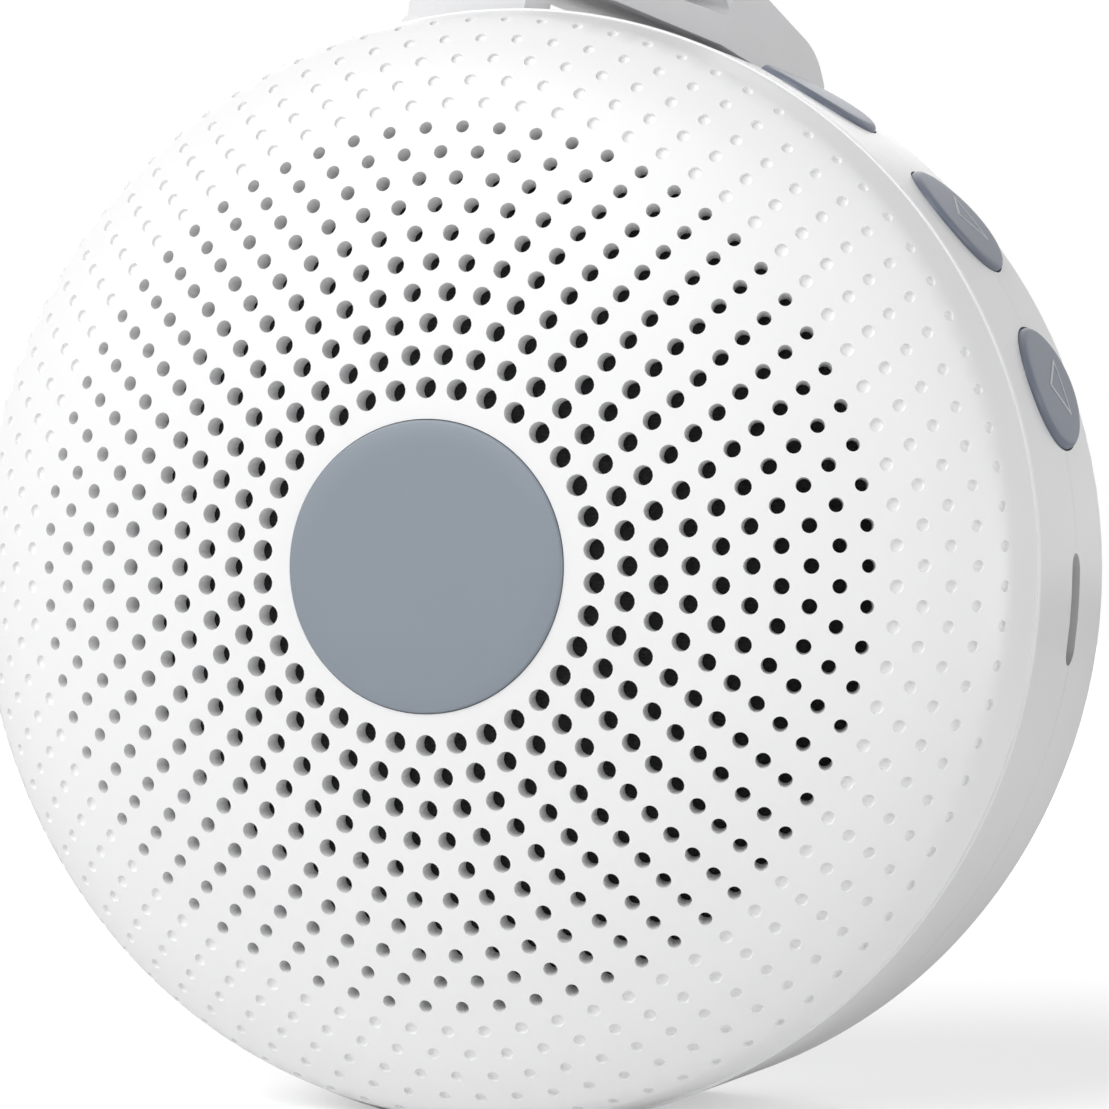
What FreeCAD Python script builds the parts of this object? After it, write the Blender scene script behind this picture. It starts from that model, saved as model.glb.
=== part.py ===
import FreeCAD, Part
import math
import os
import Sketcher
from FreeCAD import Placement, Rotation, Vector

# Portable white noise sound machine: a round housing that stands on a flat of its band,
# with a perforated front, three side keys, a charging port and a hanging strap.
# Millimetres. The origin is the middle of the flat that it stands on, the front faces -Y, +Z is up.
# Inside each piece, Y is the depth behind the front's apex and Z is measured from the round axis.

doc = FreeCAD.newDocument("sound_machine")
sheet = doc.addObject("Spreadsheet::Sheet", "Dims")

DIMENSIONS = [
    # Housing
    ("body_radius", 50.0),
    ("rim_depth", 17.04),
    ("seam_depth", 30.4),
    ("edge_depth", 40.2),
    ("back_depth", 42.6),
    ("wall", 2.2),
    ("seam_gap", 0.06),
    ("fit_gap", 0.15),
    ("rest_width", 20.0),
    ("web_depth", 20.3),
    ("web_thickness", 1.9),
    ("tongue_length", 1.6),
    ("tongue_thickness", 0.9),
    # Perforated front
    ("crown_radius", 195.0),
    ("crown_end", 27.0),
    ("slope_radius", 50.0),
    ("slope_end", 42.4),
    ("shoulder_radius", 22.0),
    ("shoulder_end", 47.8),
    ("corner_radius", 4.0),
    ("cover_wall", 1.9),
    ("hole_ring_first", 15.37),
    ("hole_ring_step", 2.83),
    ("hole_step_loss", 0.073),
    ("hole_radius_first", 0.94),
    ("hole_radius_last", 0.60),
    ("hole_rings", 10),
    ("holes_first", 34),
    ("holes_added", 4),
    ("cloth_thickness", 0.25),
    ("lip_radius", 47.55),
    ("lip_thickness", 1.3),
    ("lip_end", 20.0),
    # Emblem disc
    ("emblem_radius", 12.6),
    ("emblem_thickness", 1.2),
    ("emblem_sink", 0.12),
    ("emblem_peg_radius", 2.0),
    # Side keys
    ("key_half_length", 7.7),
    ("key_half_height", 5.7),
    ("key_depth", 31.0),
    ("key_first_angle", 18.6),
    ("key_pitch", 19.9),
    ("key_proud", 0.55),
    ("key_travel", 0.6),
    ("key_flange", 0.7),
    ("key_flange_thickness", 0.8),
    ("key_shelf", 46.6),
    ("key_stem_radius", 1.5),
    ("key_stem_length", 0.7),
    # Charging port
    ("port_angle", -4.3),
    ("port_depth", 30.1),
    ("port_slot_length", 10.0),
    ("port_slot_height", 3.0),
    ("port_shell_width", 8.94),
    ("port_shell_height", 3.2),
    ("port_shell_length", 7.3),
    ("port_shell_wall", 0.3),
    ("port_setback", 0.5),
    ("port_tongue_thickness", 0.7),
    # Circuit board
    ("board_thickness", 1.2),
    ("board_inner", 18.0),
    ("board_outer", 43.9),
    ("board_low_angle", -30.0),
    ("board_high_angle", 72.0),
    ("board_screw_radius", 24.0),
    ("switch_size", 4.4),
    ("switch_depth", 3.4),
    ("chip_size", 7.0),
    ("chip_thickness", 1.0),
    # Speaker
    ("speaker_radius", 25.0),
    ("speaker_opening", 21.4),
    ("speaker_flange", 1.2),
    ("surround_inner", 16.6),
    ("cone_throat", 6.6),
    ("cone_depth", 6.0),
    ("cone_thickness", 0.5),
    ("basket_depth", 8.0),
    ("basket_wall", 0.9),
    ("magnet_radius", 14.0),
    ("magnet_thickness", 5.0),
    ("back_plate_thickness", 1.4),
    ("speaker_screw_circle", 23.2),
    ("speaker_shank_radius", 0.8),
    ("speaker_head_radius", 1.5),
    ("speaker_head_height", 0.9),
    # Battery
    ("battery_radius", 6.5),
    ("battery_length", 38.0),
    ("battery_offset", 29.0),
    ("battery_pad_thickness", 1.0),
    # Screws
    ("screw_radius", 1.1),
    ("screw_head_radius", 2.3),
    ("screw_head_height", 1.1),
    ("screw_clearance", 0.05),
    ("housing_screw_circle", 41.6),
    ("boss_radius", 3.0),
    # Hanging strap
    ("strap_width", 22.0),
    ("strap_thickness", 2.8),
    ("strap_yaw", 28.0),
    ("strap_lean", 14.0),
    ("strap_height", 41.0),
    ("strap_reach", 22.2),
    ("strap_pin_x", -5.1),
    ("strap_pin_depth", 24.6),
    ("strap_pin_height", 47.5),
    ("pin_radius", 1.0),
    ("pin_clearance", 0.06),
    ("knuckle_radius", 2.6),
    ("neck_width", 16.0),
    ("ear_thickness", 1.6),
    ("pocket_gap", 0.6),
    ("pocket_side_gap", 0.3),
    ("block_wall", 1.4),
    ("block_end", 0.8),
    ("block_rise", 4.0),
    ("block_setback", 0.5),
]

for row, (alias, number) in enumerate(DIMENSIONS, start=1):
    sheet.set("A%d" % row, alias)
    sheet.set("B%d" % row, str(number))
    sheet.setAlias("B%d" % row, alias)
doc.recompute()


def size(expression):
    """A value worked out from the sheet."""
    return float(sheet.evalExpression(expression))


def bind(thing, **links):
    """Tie properties of an object to expressions on the sheet."""
    for name, expression in links.items():
        thing.setExpression(name.replace("__", "."), expression)
    return thing


def with_sheet(expression):
    """The same expression as another object writes it, with each alias found in the sheet."""
    words = sorted((alias for alias, number in DIMENSIONS), key=len, reverse=True)
    out = ""
    place = 0
    while place < len(expression):
        match = next((word for word in words if expression.startswith(word, place)), None)
        if match is None:
            out += expression[place]
            place += 1
        else:
            out += "Dims." + match
            place += len(match)
    return out


FRONT = "-(rim_depth + edge_depth) / 2"
AXIS_HEIGHT = "sqrt(body_radius ^ 2 - (rest_width / 2) ^ 2)"


def seat(thing, turn=None):
    """Put a piece that was drawn about the round axis into the standing housing."""
    if turn is not None:
        thing.Placement = Placement(Vector(0, 0, 0), Rotation(Vector(0, -1, 0), turn))
    bind(thing, Placement__Base__y=with_sheet(FRONT), Placement__Base__z=with_sheet(AXIS_HEIGHT))
    return thing


def make(kind, name, **links):
    """A primitive or boolean with its sizes tied to the sheet."""
    thing = doc.addObject(kind, name)
    return bind(thing, **{key: with_sheet(text) for key, text in links.items()})


def cut(name, base, tool):
    thing = doc.addObject("Part::Cut", name)
    thing.Base = base
    thing.Tool = tool
    return thing


def common(name, base, tool):
    thing = doc.addObject("Part::Common", name)
    thing.Base = base
    thing.Tool = tool
    return thing


def fuse(name, *pieces):
    thing = doc.addObject("Part::MultiFuse", name)
    thing.Shapes = list(pieces)
    return thing


def group(name, pieces):
    """Identical pieces that share one node."""
    thing = doc.addObject("Part::Compound", name)
    thing.Links = list(pieces)
    return thing


def axis_cylinder(name, radius, start, length):
    """A cylinder about the round axis, from a depth backwards."""
    thing = make("Part::Cylinder", name, Radius=radius, Height=length)
    thing.Placement = Placement(Vector(0, 0, 0), Rotation(Vector(1, 0, 0), -90))
    return bind(thing, Placement__Base__y=with_sheet(start))


def revolved(name, corners):
    """A solid revolved about the round axis. A corner is (radius, depth) or
    (radius, depth, arc), where arc is the radius of the arc that leads to the next corner:
    positive where the arc turns left, negative where it turns right."""
    sketch = doc.addObject("Sketcher::SketchObject", name + "_profile")
    points = [Vector(size(c[0]), size(c[1]), 0) for c in corners]
    for index, corner in enumerate(corners):
        start = points[index]
        end = points[(index + 1) % len(points)]
        if len(corner) == 2:
            sketch.addGeometry(Part.LineSegment(start, end))
            continue
        radius = size(corner[2])
        chord = end - start
        drop = math.sqrt(radius ** 2 - (chord.Length / 2) ** 2)
        side = Vector(-chord.y, chord.x, 0).normalize()
        centre = (start + end) * 0.5 + side * (drop if radius > 0 else -drop)
        first, last = (start, end) if radius > 0 else (end, start)
        angles = [math.atan2(p.y - centre.y, p.x - centre.x) for p in (first, last)]
        circle = Part.Circle(centre, Vector(0, 0, 1), abs(radius))
        sketch.addGeometry(Part.ArcOfCircle(circle, angles[0], angles[1]))
    ends = [(2, 1) if len(c) == 3 and size(c[2]) < 0 else (1, 2) for c in corners]
    for index, corner in enumerate(corners):
        after = (index + 1) % len(corners)
        sketch.addConstraint(
            Sketcher.Constraint("Coincident", index, ends[index][1], after, ends[after][0]))
        for kind, text, on_axis in (("DistanceX", corner[0], -2), ("DistanceY", corner[1], -1)):
            if abs(size(text)) < 1e-9:
                sketch.addConstraint(
                    Sketcher.Constraint("PointOnObject", index, ends[index][0], on_axis))
                continue
            row = sketch.addConstraint(
                Sketcher.Constraint(kind, -1, 1, index, ends[index][0], size(text)))
            sketch.setExpression("Constraints[%d]" % row, with_sheet(text))
        if len(corner) == 3:
            row = sketch.addConstraint(Sketcher.Constraint("Radius", index, abs(size(corner[2]))))
            sketch.setExpression("Constraints[%d]" % row, with_sheet("abs(%s)" % corner[2]))
    turn = doc.addObject("Part::Revolution", name)
    turn.Source = sketch
    turn.Base = Vector(0, 0, 0)
    turn.Axis = Vector(0, 1, 0)
    turn.Angle = 360
    turn.Solid = True
    return turn


STRETCHES = [("crown_radius", "crown_end"), ("slope_radius", "slope_end"),
             ("shoulder_radius", "shoulder_end")]


def arc_chain():
    """Centre, radius and end slope of each arc of the front's outer face, from the apex outwards."""
    chain = []
    centre = Vector(0, size("crown_radius"), 0)
    slope = 0.0
    for name, stop in STRETCHES:
        radius = size(name)
        if chain:
            outward = Vector(math.sin(slope), -math.cos(slope), 0)
            centre = chain[-1][0] + outward * (chain[-1][1] - radius)
        slope = math.asin((size(stop) - centre.x) / radius)
        chain.append((centre, radius, slope))
    # The last, tight corner runs on until its tangent meets the rim.
    radius = size("corner_radius")
    outward = Vector(math.sin(slope), -math.cos(slope), 0)
    centre = chain[-1][0] + outward * (chain[-1][1] - radius)
    reach = Vector(size("body_radius"), size("rim_depth"), 0) - centre
    slope = math.atan2(reach.y, reach.x) + math.asin(radius / reach.Length)
    chain.append((centre, radius, slope))
    return chain


CHAIN = arc_chain()


def surface_at(radius_out):
    """Depth and slope angle of the front's outer face at a radius."""
    for (centre, radius, slope), (name, stop) in zip(CHAIN, STRETCHES):
        if radius_out <= size(stop) + 1e-9:
            angle = math.asin((radius_out - centre.x) / radius)
            return centre.y - radius * math.cos(angle), angle
    raise ValueError("no surface at radius %s" % radius_out)


def inset_point(radius_out, inset):
    """A point below the outer face, square to it."""
    depth, slope = surface_at(radius_out)
    return radius_out - inset * math.sin(slope), depth + inset * math.cos(slope)


def hole_ring_radii():
    """Radii of the rings of holes: their spacing falls by the same amount each time."""
    radii = [size("hole_ring_first")]
    step = size("hole_ring_step")
    while len(radii) < int(size("hole_rings")):
        radii.append(radii[-1] + step)
        step -= size("hole_step_loss")
    return radii


HOLE_RINGS = hole_ring_radii()


def band_edges():
    """Radii between which each ring of holes has its own narrow conical band."""
    inner = HOLE_RINGS[0] - size("hole_ring_step") / 2
    edges = [size("emblem_peg_radius + fit_gap"), inner]
    edges += [(one + two) / 2 for one, two in zip(HOLE_RINGS, HOLE_RINGS[1:])]
    edges.append(HOLE_RINGS[-1] + (HOLE_RINGS[-1] - edges[-1]))
    return edges


def front_edge(inset):
    """Corners along the front's face at an inset: bands, then arcs that run to the rim."""
    corners = [inset_point(edge, inset) + (None,) for edge in band_edges()]
    corners[-1] = corners[-1][:2] + (CHAIN[1][1] - inset,)
    for index in (1, 2):
        centre, radius, slope = CHAIN[index]
        outward = Vector(math.sin(slope), -math.cos(slope), 0)
        point = centre + outward * (radius - inset)
        corners.append((point.x, point.y, CHAIN[index + 1][1] - inset))
    centre, radius, slope = CHAIN[3]
    outward = Vector(math.sin(slope), -math.cos(slope), 0)
    point = centre + outward * (radius - inset)
    corners.append((point.x, point.y, None))
    corners.append((size("body_radius") - inset / math.sin(slope), size("rim_depth"), None))
    return corners


def front_section(outer_inset, inner_inset):
    """The front's section between two depths below its outer face, as corners for revolved()."""
    corners = []
    for x, y, arc in front_edge(outer_inset):
        corners.append((repr(x), repr(y)) if arc is None else (repr(x), repr(y), repr(arc)))
    inside = front_edge(inner_inset)
    for index in range(len(inside) - 1, -1, -1):
        x, y, arc = inside[index]
        arc = inside[index - 1][2] if index > 0 else None
        corners.append((repr(x), repr(y)) if arc is None else (repr(x), repr(y), repr(-arc)))
    return corners


def flat_tool(name):
    """What is cut away under the flat that the housing stands on."""
    tool = make("Part::Box", name, Length="4 * body_radius", Width="2 * back_depth",
                Height="body_radius")
    return bind(tool, Placement__Base__x=with_sheet("-2 * body_radius"),
                Placement__Base__y=with_sheet("-back_depth / 2"),
                Placement__Base__z=with_sheet("-body_radius - " + AXIS_HEIGHT))


# Hanging strap's seat: a pocket in a block behind the band, crossed by the strap's pin.
# The strap hangs turned and leaning, so its own axes are width, run and height from the pin.
STRAP_TURN = Rotation(Vector(0, 0, 1), -size("strap_yaw")).multiply(
    Rotation(Vector(0, 1, 0), size("strap_lean")))
STRAP_PLACE = Placement(Vector(size("strap_pin_x"), size("strap_pin_depth"), size("strap_pin_height")),
                        STRAP_TURN)


def strap_box(name, half_width, half_run, drop, rise):
    """A box about the pin in the strap's own axes."""
    box = Part.makeBox(2 * half_width, 2 * half_run, drop + rise, Vector(-half_width, -half_run, -drop))
    box.Placement = STRAP_PLACE.multiply(box.Placement)
    thing = doc.addObject("Part::Feature", name)
    thing.Shape = box
    return thing


half_neck = size("neck_width / 2")
pocket_half = half_neck + size("pocket_side_gap")
pin_half = pocket_half + size("ear_thickness")
pocket_reach = size("knuckle_radius + pocket_gap")
block_half = pin_half + size("block_end")
block_reach = pocket_reach + size("block_wall")
rise = size("knuckle_radius + block_rise")
pocket = strap_box("strap_pocket", pocket_half, pocket_reach, pocket_reach, rise)
block = strap_box("strap_block", block_half, block_reach, block_reach, rise)
block_limit = cut("block_limit", axis_cylinder("block_span", "body_radius - wall / 2",
                                               "rim_depth + block_setback",
                                               "seam_depth - rim_depth - 2 * block_setback"),
                  axis_cylinder("block_core", "body_radius - wall * 4", "0", "back_depth"))
strap_anchor = common("strap_anchor", block, block_limit)
strap_clear = strap_box("strap_clear", block_half + size("fit_gap"), block_reach + size("fit_gap"),
                        block_reach + size("fit_gap"), rise)


# Perforated front
# Rings of holes, each drilled square to the face, cut a dome of tangent arcs.

cover_shell = revolved("cover_shell", front_section(0.0, size("cover_wall")))

hole_tools = []
for ring, ring_radius in enumerate(HOLE_RINGS):
    count = int(size("holes_first") + ring * size("holes_added"))
    share = ring / max(len(HOLE_RINGS) - 1, 1)
    bore = size("hole_radius_first") * (1 - share) + size("hole_radius_last") * share
    depth, slope = surface_at(ring_radius)
    inward = Vector(-math.sin(slope), math.cos(slope), 0)
    reach = size("cover_wall") / 2
    start = Vector(ring_radius, depth, 0) - inward * reach
    side = Vector(inward.y, -inward.x, 0)
    corners = []
    for corner in range(7):
        angle = math.radians(60 * corner)
        corners.append(start + side * bore * math.cos(angle) + Vector(0, 0, bore * math.sin(angle)))
    tool = Part.Face(Part.makePolygon(corners)).extrude(inward * (size("cover_wall") + 2 * reach))
    offset = 0.5 if ring % 2 == 0 else 0.0
    for hole in range(count):
        turned = tool.copy()
        turned.rotate(Vector(0, 0, 0), Vector(0, -1, 0), 360.0 * (hole + offset) / count)
        hole_tools.append(turned)
perforations = doc.addObject("Part::Feature", "perforations")
perforations.Shape = Part.makeCompound(hole_tools)

emblem_seat = axis_cylinder("emblem_seat", "emblem_radius + fit_gap / 2", "-1", "1 + emblem_thickness")
lip = cut("cover_lip", axis_cylinder("lip_outside", "lip_radius", "rim_depth - 2 * cover_wall",
                                     "lip_end - rim_depth + 2 * cover_wall"),
          axis_cylinder("lip_inside", "lip_radius - lip_thickness", "0", "back_depth"))
lip_open = cut("lip_open", lip, strap_clear)
cover_solid = fuse("cover_solid", cover_shell, lip_open)
cover_seated = cut("cover_seated", cover_solid, emblem_seat)
cover_footed = cut("cover_footed", cover_seated, flat_tool("cover_flat"))
grille_cover = seat(cut("grille_cover", cover_footed, perforations))


emblem_plate = axis_cylinder("emblem_plate", "emblem_radius", "emblem_sink",
                             "emblem_thickness - emblem_sink")
emblem_peg = axis_cylinder("emblem_peg", "emblem_peg_radius", "emblem_sink", "cover_wall")
emblem_disc = seat(fuse("emblem_disc", emblem_plate, emblem_peg))

# Acoustic cloth that lines the perforated part from behind.
cloth_solid = revolved("cloth_solid", front_section(size("cover_wall"), size("cover_wall") + size("cloth_thickness")))
cloth_limit = make("Part::Cylinder", "cloth_limit", Height="back_depth")
cloth_limit.Radius = HOLE_RINGS[-1] + size("hole_ring_step")
cloth_limit.Placement = Placement(Vector(0, 0, 0), Rotation(Vector(1, 0, 0), -90))
dust_cloth = seat(common("dust_cloth", cloth_solid, cloth_limit))


# Housing halves
# Each is a ring of the band. The front one has a web that carries the speaker,
# the rear one is closed by the back wall, and a thin tongue centres one in the other.

SEAM_BACK = "seam_depth + seam_gap"
front_ring = revolved("front_ring", [
    ("body_radius", "rim_depth"), ("body_radius", "seam_depth"),
    ("body_radius - wall + tongue_thickness", "seam_depth"),
    ("body_radius - wall + tongue_thickness", "seam_depth + tongue_length"),
    ("body_radius - wall", "seam_depth + tongue_length"),
    ("body_radius - wall", "web_depth + web_thickness"),
    ("speaker_opening", "web_depth + web_thickness"),
    ("speaker_opening", "web_depth"),
    ("body_radius - wall", "web_depth"),
    ("body_radius - wall", "rim_depth")])
rear_cup = revolved("rear_cup", [
    ("body_radius", "edge_depth", "back_depth - edge_depth"),
    ("body_radius - back_depth + edge_depth", "back_depth"),
    ("0", "back_depth"), ("0", "back_depth - wall + 0.2"),
    ("body_radius - wall", "back_depth - wall + 0.2"),
    ("body_radius - wall", "seam_depth + tongue_length + fit_gap"),
    ("body_radius - wall + tongue_thickness + fit_gap", "seam_depth + tongue_length + fit_gap"),
    ("body_radius - wall + tongue_thickness + fit_gap", SEAM_BACK),
    ("body_radius", SEAM_BACK)])


def along_radius(thing, angle, **links):
    """Turn a tool that was drawn outward along +X to an angle round the band."""
    thing.Placement = Placement(Vector(0, 0, 0), Rotation(Vector(0, -1, 0), angle))
    return bind(thing, **{key: with_sheet(text) for key, text in links.items()})


def oval(name, half_length, half_height, start, length):
    """An elliptical prism that runs outward along +X, its long axis along the depth."""
    outline = make("Part::Ellipse", name + "_outline", MajorRadius=half_length, MinorRadius=half_height)
    outline.Placement = Placement(Vector(0, 0, 0), Rotation(Vector(1, 1, 1), 120))
    bind(outline, Placement__Base__x=with_sheet(start), Placement__Base__y=with_sheet("key_depth"))
    prism = doc.addObject("Part::Extrusion", name)
    prism.Base = outline
    prism.DirMode = "Custom"
    prism.Dir = Vector(1, 0, 0)
    prism.Solid = True
    return bind(prism, LengthFwd=with_sheet(length))


def turned_copy(name, thing, angle):
    """The same shape again, turned round the axis."""
    again = doc.addObject("Part::Compound", name)
    again.Links = [thing]
    again.Placement = Placement(Vector(0, 0, 0), Rotation(Vector(0, -1, 0), angle))
    return again


KEYS = ["lower_button", "middle_button", "upper_button"]
KEY_ANGLES = [size("key_first_angle") + index * size("key_pitch") for index in range(len(KEYS))]

key_window = oval("key_window", "key_half_length + fit_gap", "key_half_height + fit_gap",
                  "key_shelf", "body_radius")
openings = [turned_copy("key_window_%d" % index, key_window, angle)
            for index, angle in enumerate(KEY_ANGLES, start=1)]

port_slot = make("Part::Box", "port_slot", Length="wall * 2", Width="port_slot_height",
                 Height="port_slot_length - port_slot_height")
bind(port_slot, Placement__Base__x=with_sheet("body_radius - wall * 1.5"),
     Placement__Base__y=with_sheet("port_depth - port_slot_height / 2"),
     Placement__Base__z=with_sheet("-(port_slot_length - port_slot_height) / 2"))
slot_parts = [port_slot]
for side, sign in (("top", ""), ("bottom", "-")):
    end = make("Part::Cylinder", "port_slot_" + side, Radius="port_slot_height / 2", Height="wall * 2")
    end.Placement = Placement(Vector(0, 0, 0), Rotation(Vector(0, 1, 0), 90))
    bind(end, Placement__Base__x=with_sheet("body_radius - wall * 1.5"),
         Placement__Base__y=with_sheet("port_depth"),
         Placement__Base__z=with_sheet(sign + "(port_slot_length - port_slot_height) / 2"))
    slot_parts.append(end)
port_opening = fuse("port_opening", *slot_parts)
port_opening.Placement = Placement(Vector(0, 0, 0), Rotation(Vector(0, -1, 0), size("port_angle")))
openings.append(port_opening)

pin_hole = doc.addObject("Part::Feature", "strap_pin_hole")
pin_hole.Shape = Part.makeCylinder(size("pin_radius"), 2 * pin_half, Vector(-pin_half, 0, 0), Vector(1, 0, 0))
pin_hole.Placement = STRAP_PLACE
openings += [pocket, pin_hole]

# Screw posts
SCREW_ANGLES = [140.0, 230.0, 320.0]


def posts(name, radius, start, end, bores=False):
    """One cylinder per housing screw, between two depths."""
    made = []
    for index, angle in enumerate(SCREW_ANGLES, start=1):
        post = axis_cylinder("%s_%d" % (name, index), radius, start, "(%s) - (%s)" % (end, start))
        bind(post, Placement__Base__x=with_sheet("housing_screw_circle * cos(%r deg)" % angle),
             Placement__Base__z=with_sheet("housing_screw_circle * sin(%r deg)" % angle))
        made.append(post)
    return made


BACK_INSIDE = "back_depth - wall + 0.2"
screw_posts = posts("screw_post", "boss_radius", "web_depth + web_thickness - 0.2", BACK_INSIDE + " - fit_gap")
post_bores = posts("post_bore", "screw_radius + 0.03", "seam_depth", "back_depth + 1")
head_wells = posts("head_well", "screw_head_radius + fit_gap", "back_depth - screw_head_height", "back_depth + 1")

SPEAKER_SCREWS = [45.0, 135.0, 225.0, 315.0]


def speaker_fixings(name, radius, start, length):
    """One cylinder for each speaker screw."""
    made = []
    for index, angle in enumerate(SPEAKER_SCREWS, start=1):
        part = axis_cylinder("%s_%d" % (name, index), radius, start, length)
        bind(part, Placement__Base__x=with_sheet("speaker_screw_circle * cos(%r deg)" % angle),
             Placement__Base__z=with_sheet("speaker_screw_circle * sin(%r deg)" % angle))
        made.append(part)
    return made


FLANGE_FRONT = "web_depth - speaker_flange"
speaker_bores = speaker_fixings("speaker_bore", "speaker_shank_radius + screw_clearance", FLANGE_FRONT + " - 1",
                                "speaker_flange + web_thickness + 2")

front_solid = fuse("front_solid", front_ring, strap_anchor, *screw_posts)
front_tools = fuse("front_tools", flat_tool("front_flat"), *(openings + post_bores + speaker_bores))
front_housing = seat(cut("front_housing", front_solid, front_tools))

board_posts = []
BOARD_BACK = "port_depth + port_shell_height / 2 + board_thickness"
BOARD_SCREWS = [-18.0, 62.0]
for index, angle in enumerate(BOARD_SCREWS, start=1):
    post = axis_cylinder("board_post_%d" % index, "boss_radius - 0.4", BOARD_BACK,
                         "(%s) - (%s) + 0.2" % (BACK_INSIDE, BOARD_BACK))
    bind(post, Placement__Base__x=with_sheet("board_screw_radius * cos(%r deg)" % angle),
         Placement__Base__z=with_sheet("board_screw_radius * sin(%r deg)" % angle))
    board_posts.append(post)
rear_solid = fuse("rear_solid", rear_cup, *board_posts)
rear_tools = fuse("rear_tools", flat_tool("rear_flat"), *(openings + post_bores + head_wells))
rear_housing = seat(cut("rear_housing", rear_solid, rear_tools))

# Side keys: an oval cap that follows the band, a flange behind the wall and a stem
key_cap = common("key_cap", oval("key_prism", "key_half_length", "key_half_height", "key_shelf",
                                 "body_radius"),
                 axis_cylinder("key_crown", "body_radius + key_proud", "0", "2 * back_depth"))
key_flange = oval("key_flange_plate", "key_half_length + key_flange", "key_half_height + key_flange",
                  "key_shelf - key_flange_thickness", "key_flange_thickness")
key_stem = make("Part::Cylinder", "key_stem", Radius="key_stem_radius", Height="key_stem_length + 0.2")
key_stem.Placement = Placement(Vector(0, 0, 0), Rotation(Vector(0, 1, 0), 90))
STEM_END = "key_shelf - key_flange_thickness - key_stem_length"
bind(key_stem, Placement__Base__x=with_sheet(STEM_END), Placement__Base__y=with_sheet("key_depth"))
key_solid = fuse("key_solid", key_cap, key_flange, key_stem)
keys = [seat(turned_copy(name, key_solid, angle), angle) for name, angle in zip(KEYS, KEY_ANGLES)]

# Circuit board with its switches, chips and charging port
BOARD_FRONT = "port_depth + port_shell_height / 2"
board_ring = cut("board_ring", axis_cylinder("board_disc", "board_outer", BOARD_FRONT, "board_thickness"),
                 axis_cylinder("board_eye", "board_inner", "0", "2 * back_depth"))
board_wedge = make("Part::Cylinder", "board_wedge", Radius="body_radius", Height="back_depth",
                   Angle="board_high_angle - board_low_angle")
board_wedge.Placement = Placement(Vector(0, 0, 0), Rotation(Vector(1, 0, 0), -90))
board_turn = turned_copy("board_turn", board_wedge, size("board_high_angle"))
board_blank = common("board_blank", board_ring, board_turn)
board_holes = []
for index, post in enumerate(board_posts, start=1):
    hole = axis_cylinder("board_hole_%d" % index, "screw_radius + 0.05", "seam_depth", "back_depth")
    hole.setExpression("Placement.Base.x", "board_post_%d.Placement.Base.x" % index)
    hole.setExpression("Placement.Base.z", "board_post_%d.Placement.Base.z" % index)
    board_holes.append(hole)
main_board = seat(cut("main_board", board_blank, fuse("board_drill", *board_holes)))

switches = []
for index, angle in enumerate(KEY_ANGLES, start=1):
    blank = make("Part::Box", "switch_blank_%d" % index, Length="switch_size - 1", Width="switch_depth",
                 Height="switch_size")
    along_radius(blank, 0, Placement__Base__x=STEM_END + " - key_travel - fit_gap - switch_size + 1",
                 Placement__Base__y=BOARD_FRONT + " - switch_depth",
                 Placement__Base__z="-switch_size / 2")
    switches.append(turned_copy("switch_%d" % index, blank, angle))
key_switches = seat(group("key_switches", switches))

chips = []
for index, (radius, angle, scale) in enumerate([(30.0, 20.0, 1.0), (29.0, 45.0, 0.6), (27.0, -2.0, 0.5)], start=1):
    chip = make("Part::Box", "chip_%d" % index, Length="chip_size * %r" % scale, Width="chip_thickness",
                Height="chip_size * %r" % scale)
    bind(chip, Placement__Base__x="%r - Dims.chip_size * %r / 2" % (radius, scale),
         Placement__Base__y=with_sheet(BOARD_BACK), Placement__Base__z=with_sheet("-chip_size * %r / 2" % scale))
    chips.append(turned_copy("chip_turn_%d" % index, chip, angle))
board_chips = seat(group("board_chips", chips))


def port_box(name, width, height, start, end):
    """A box across the charging port, by its width round the band, its height and its reach."""
    box = make("Part::Box", name, Length="(%s) - (%s)" % (end, start), Width=height, Height=width)
    return bind(box, Placement__Base__x=with_sheet(start),
                Placement__Base__y=with_sheet("port_depth - (%s) / 2" % height),
                Placement__Base__z=with_sheet("-(%s) / 2" % width))


PORT_MOUTH = "body_radius - wall - port_setback"
port_outer = port_box("port_outer", "port_shell_width", "port_shell_height",
                      PORT_MOUTH + " - port_shell_length", PORT_MOUTH)
port_inner = port_box("port_inner", "port_shell_width - 2 * port_shell_wall",
                      "port_shell_height - 2 * port_shell_wall",
                      PORT_MOUTH + " - port_shell_length + port_shell_wall", PORT_MOUTH + " + 1")
port_shell = cut("port_shell", port_outer, port_inner)
charging_port = seat(turned_copy("charging_port", port_shell, size("port_angle")), size("port_angle"))
port_tongue = port_box("port_tongue", "port_shell_width - 8 * port_shell_wall", "port_tongue_thickness",
                       PORT_MOUTH + " - port_shell_length + port_shell_wall", PORT_MOUTH + " - 1")
charging_tongue = seat(turned_copy("charging_tongue", port_tongue, size("port_angle")), size("port_angle"))

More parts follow.
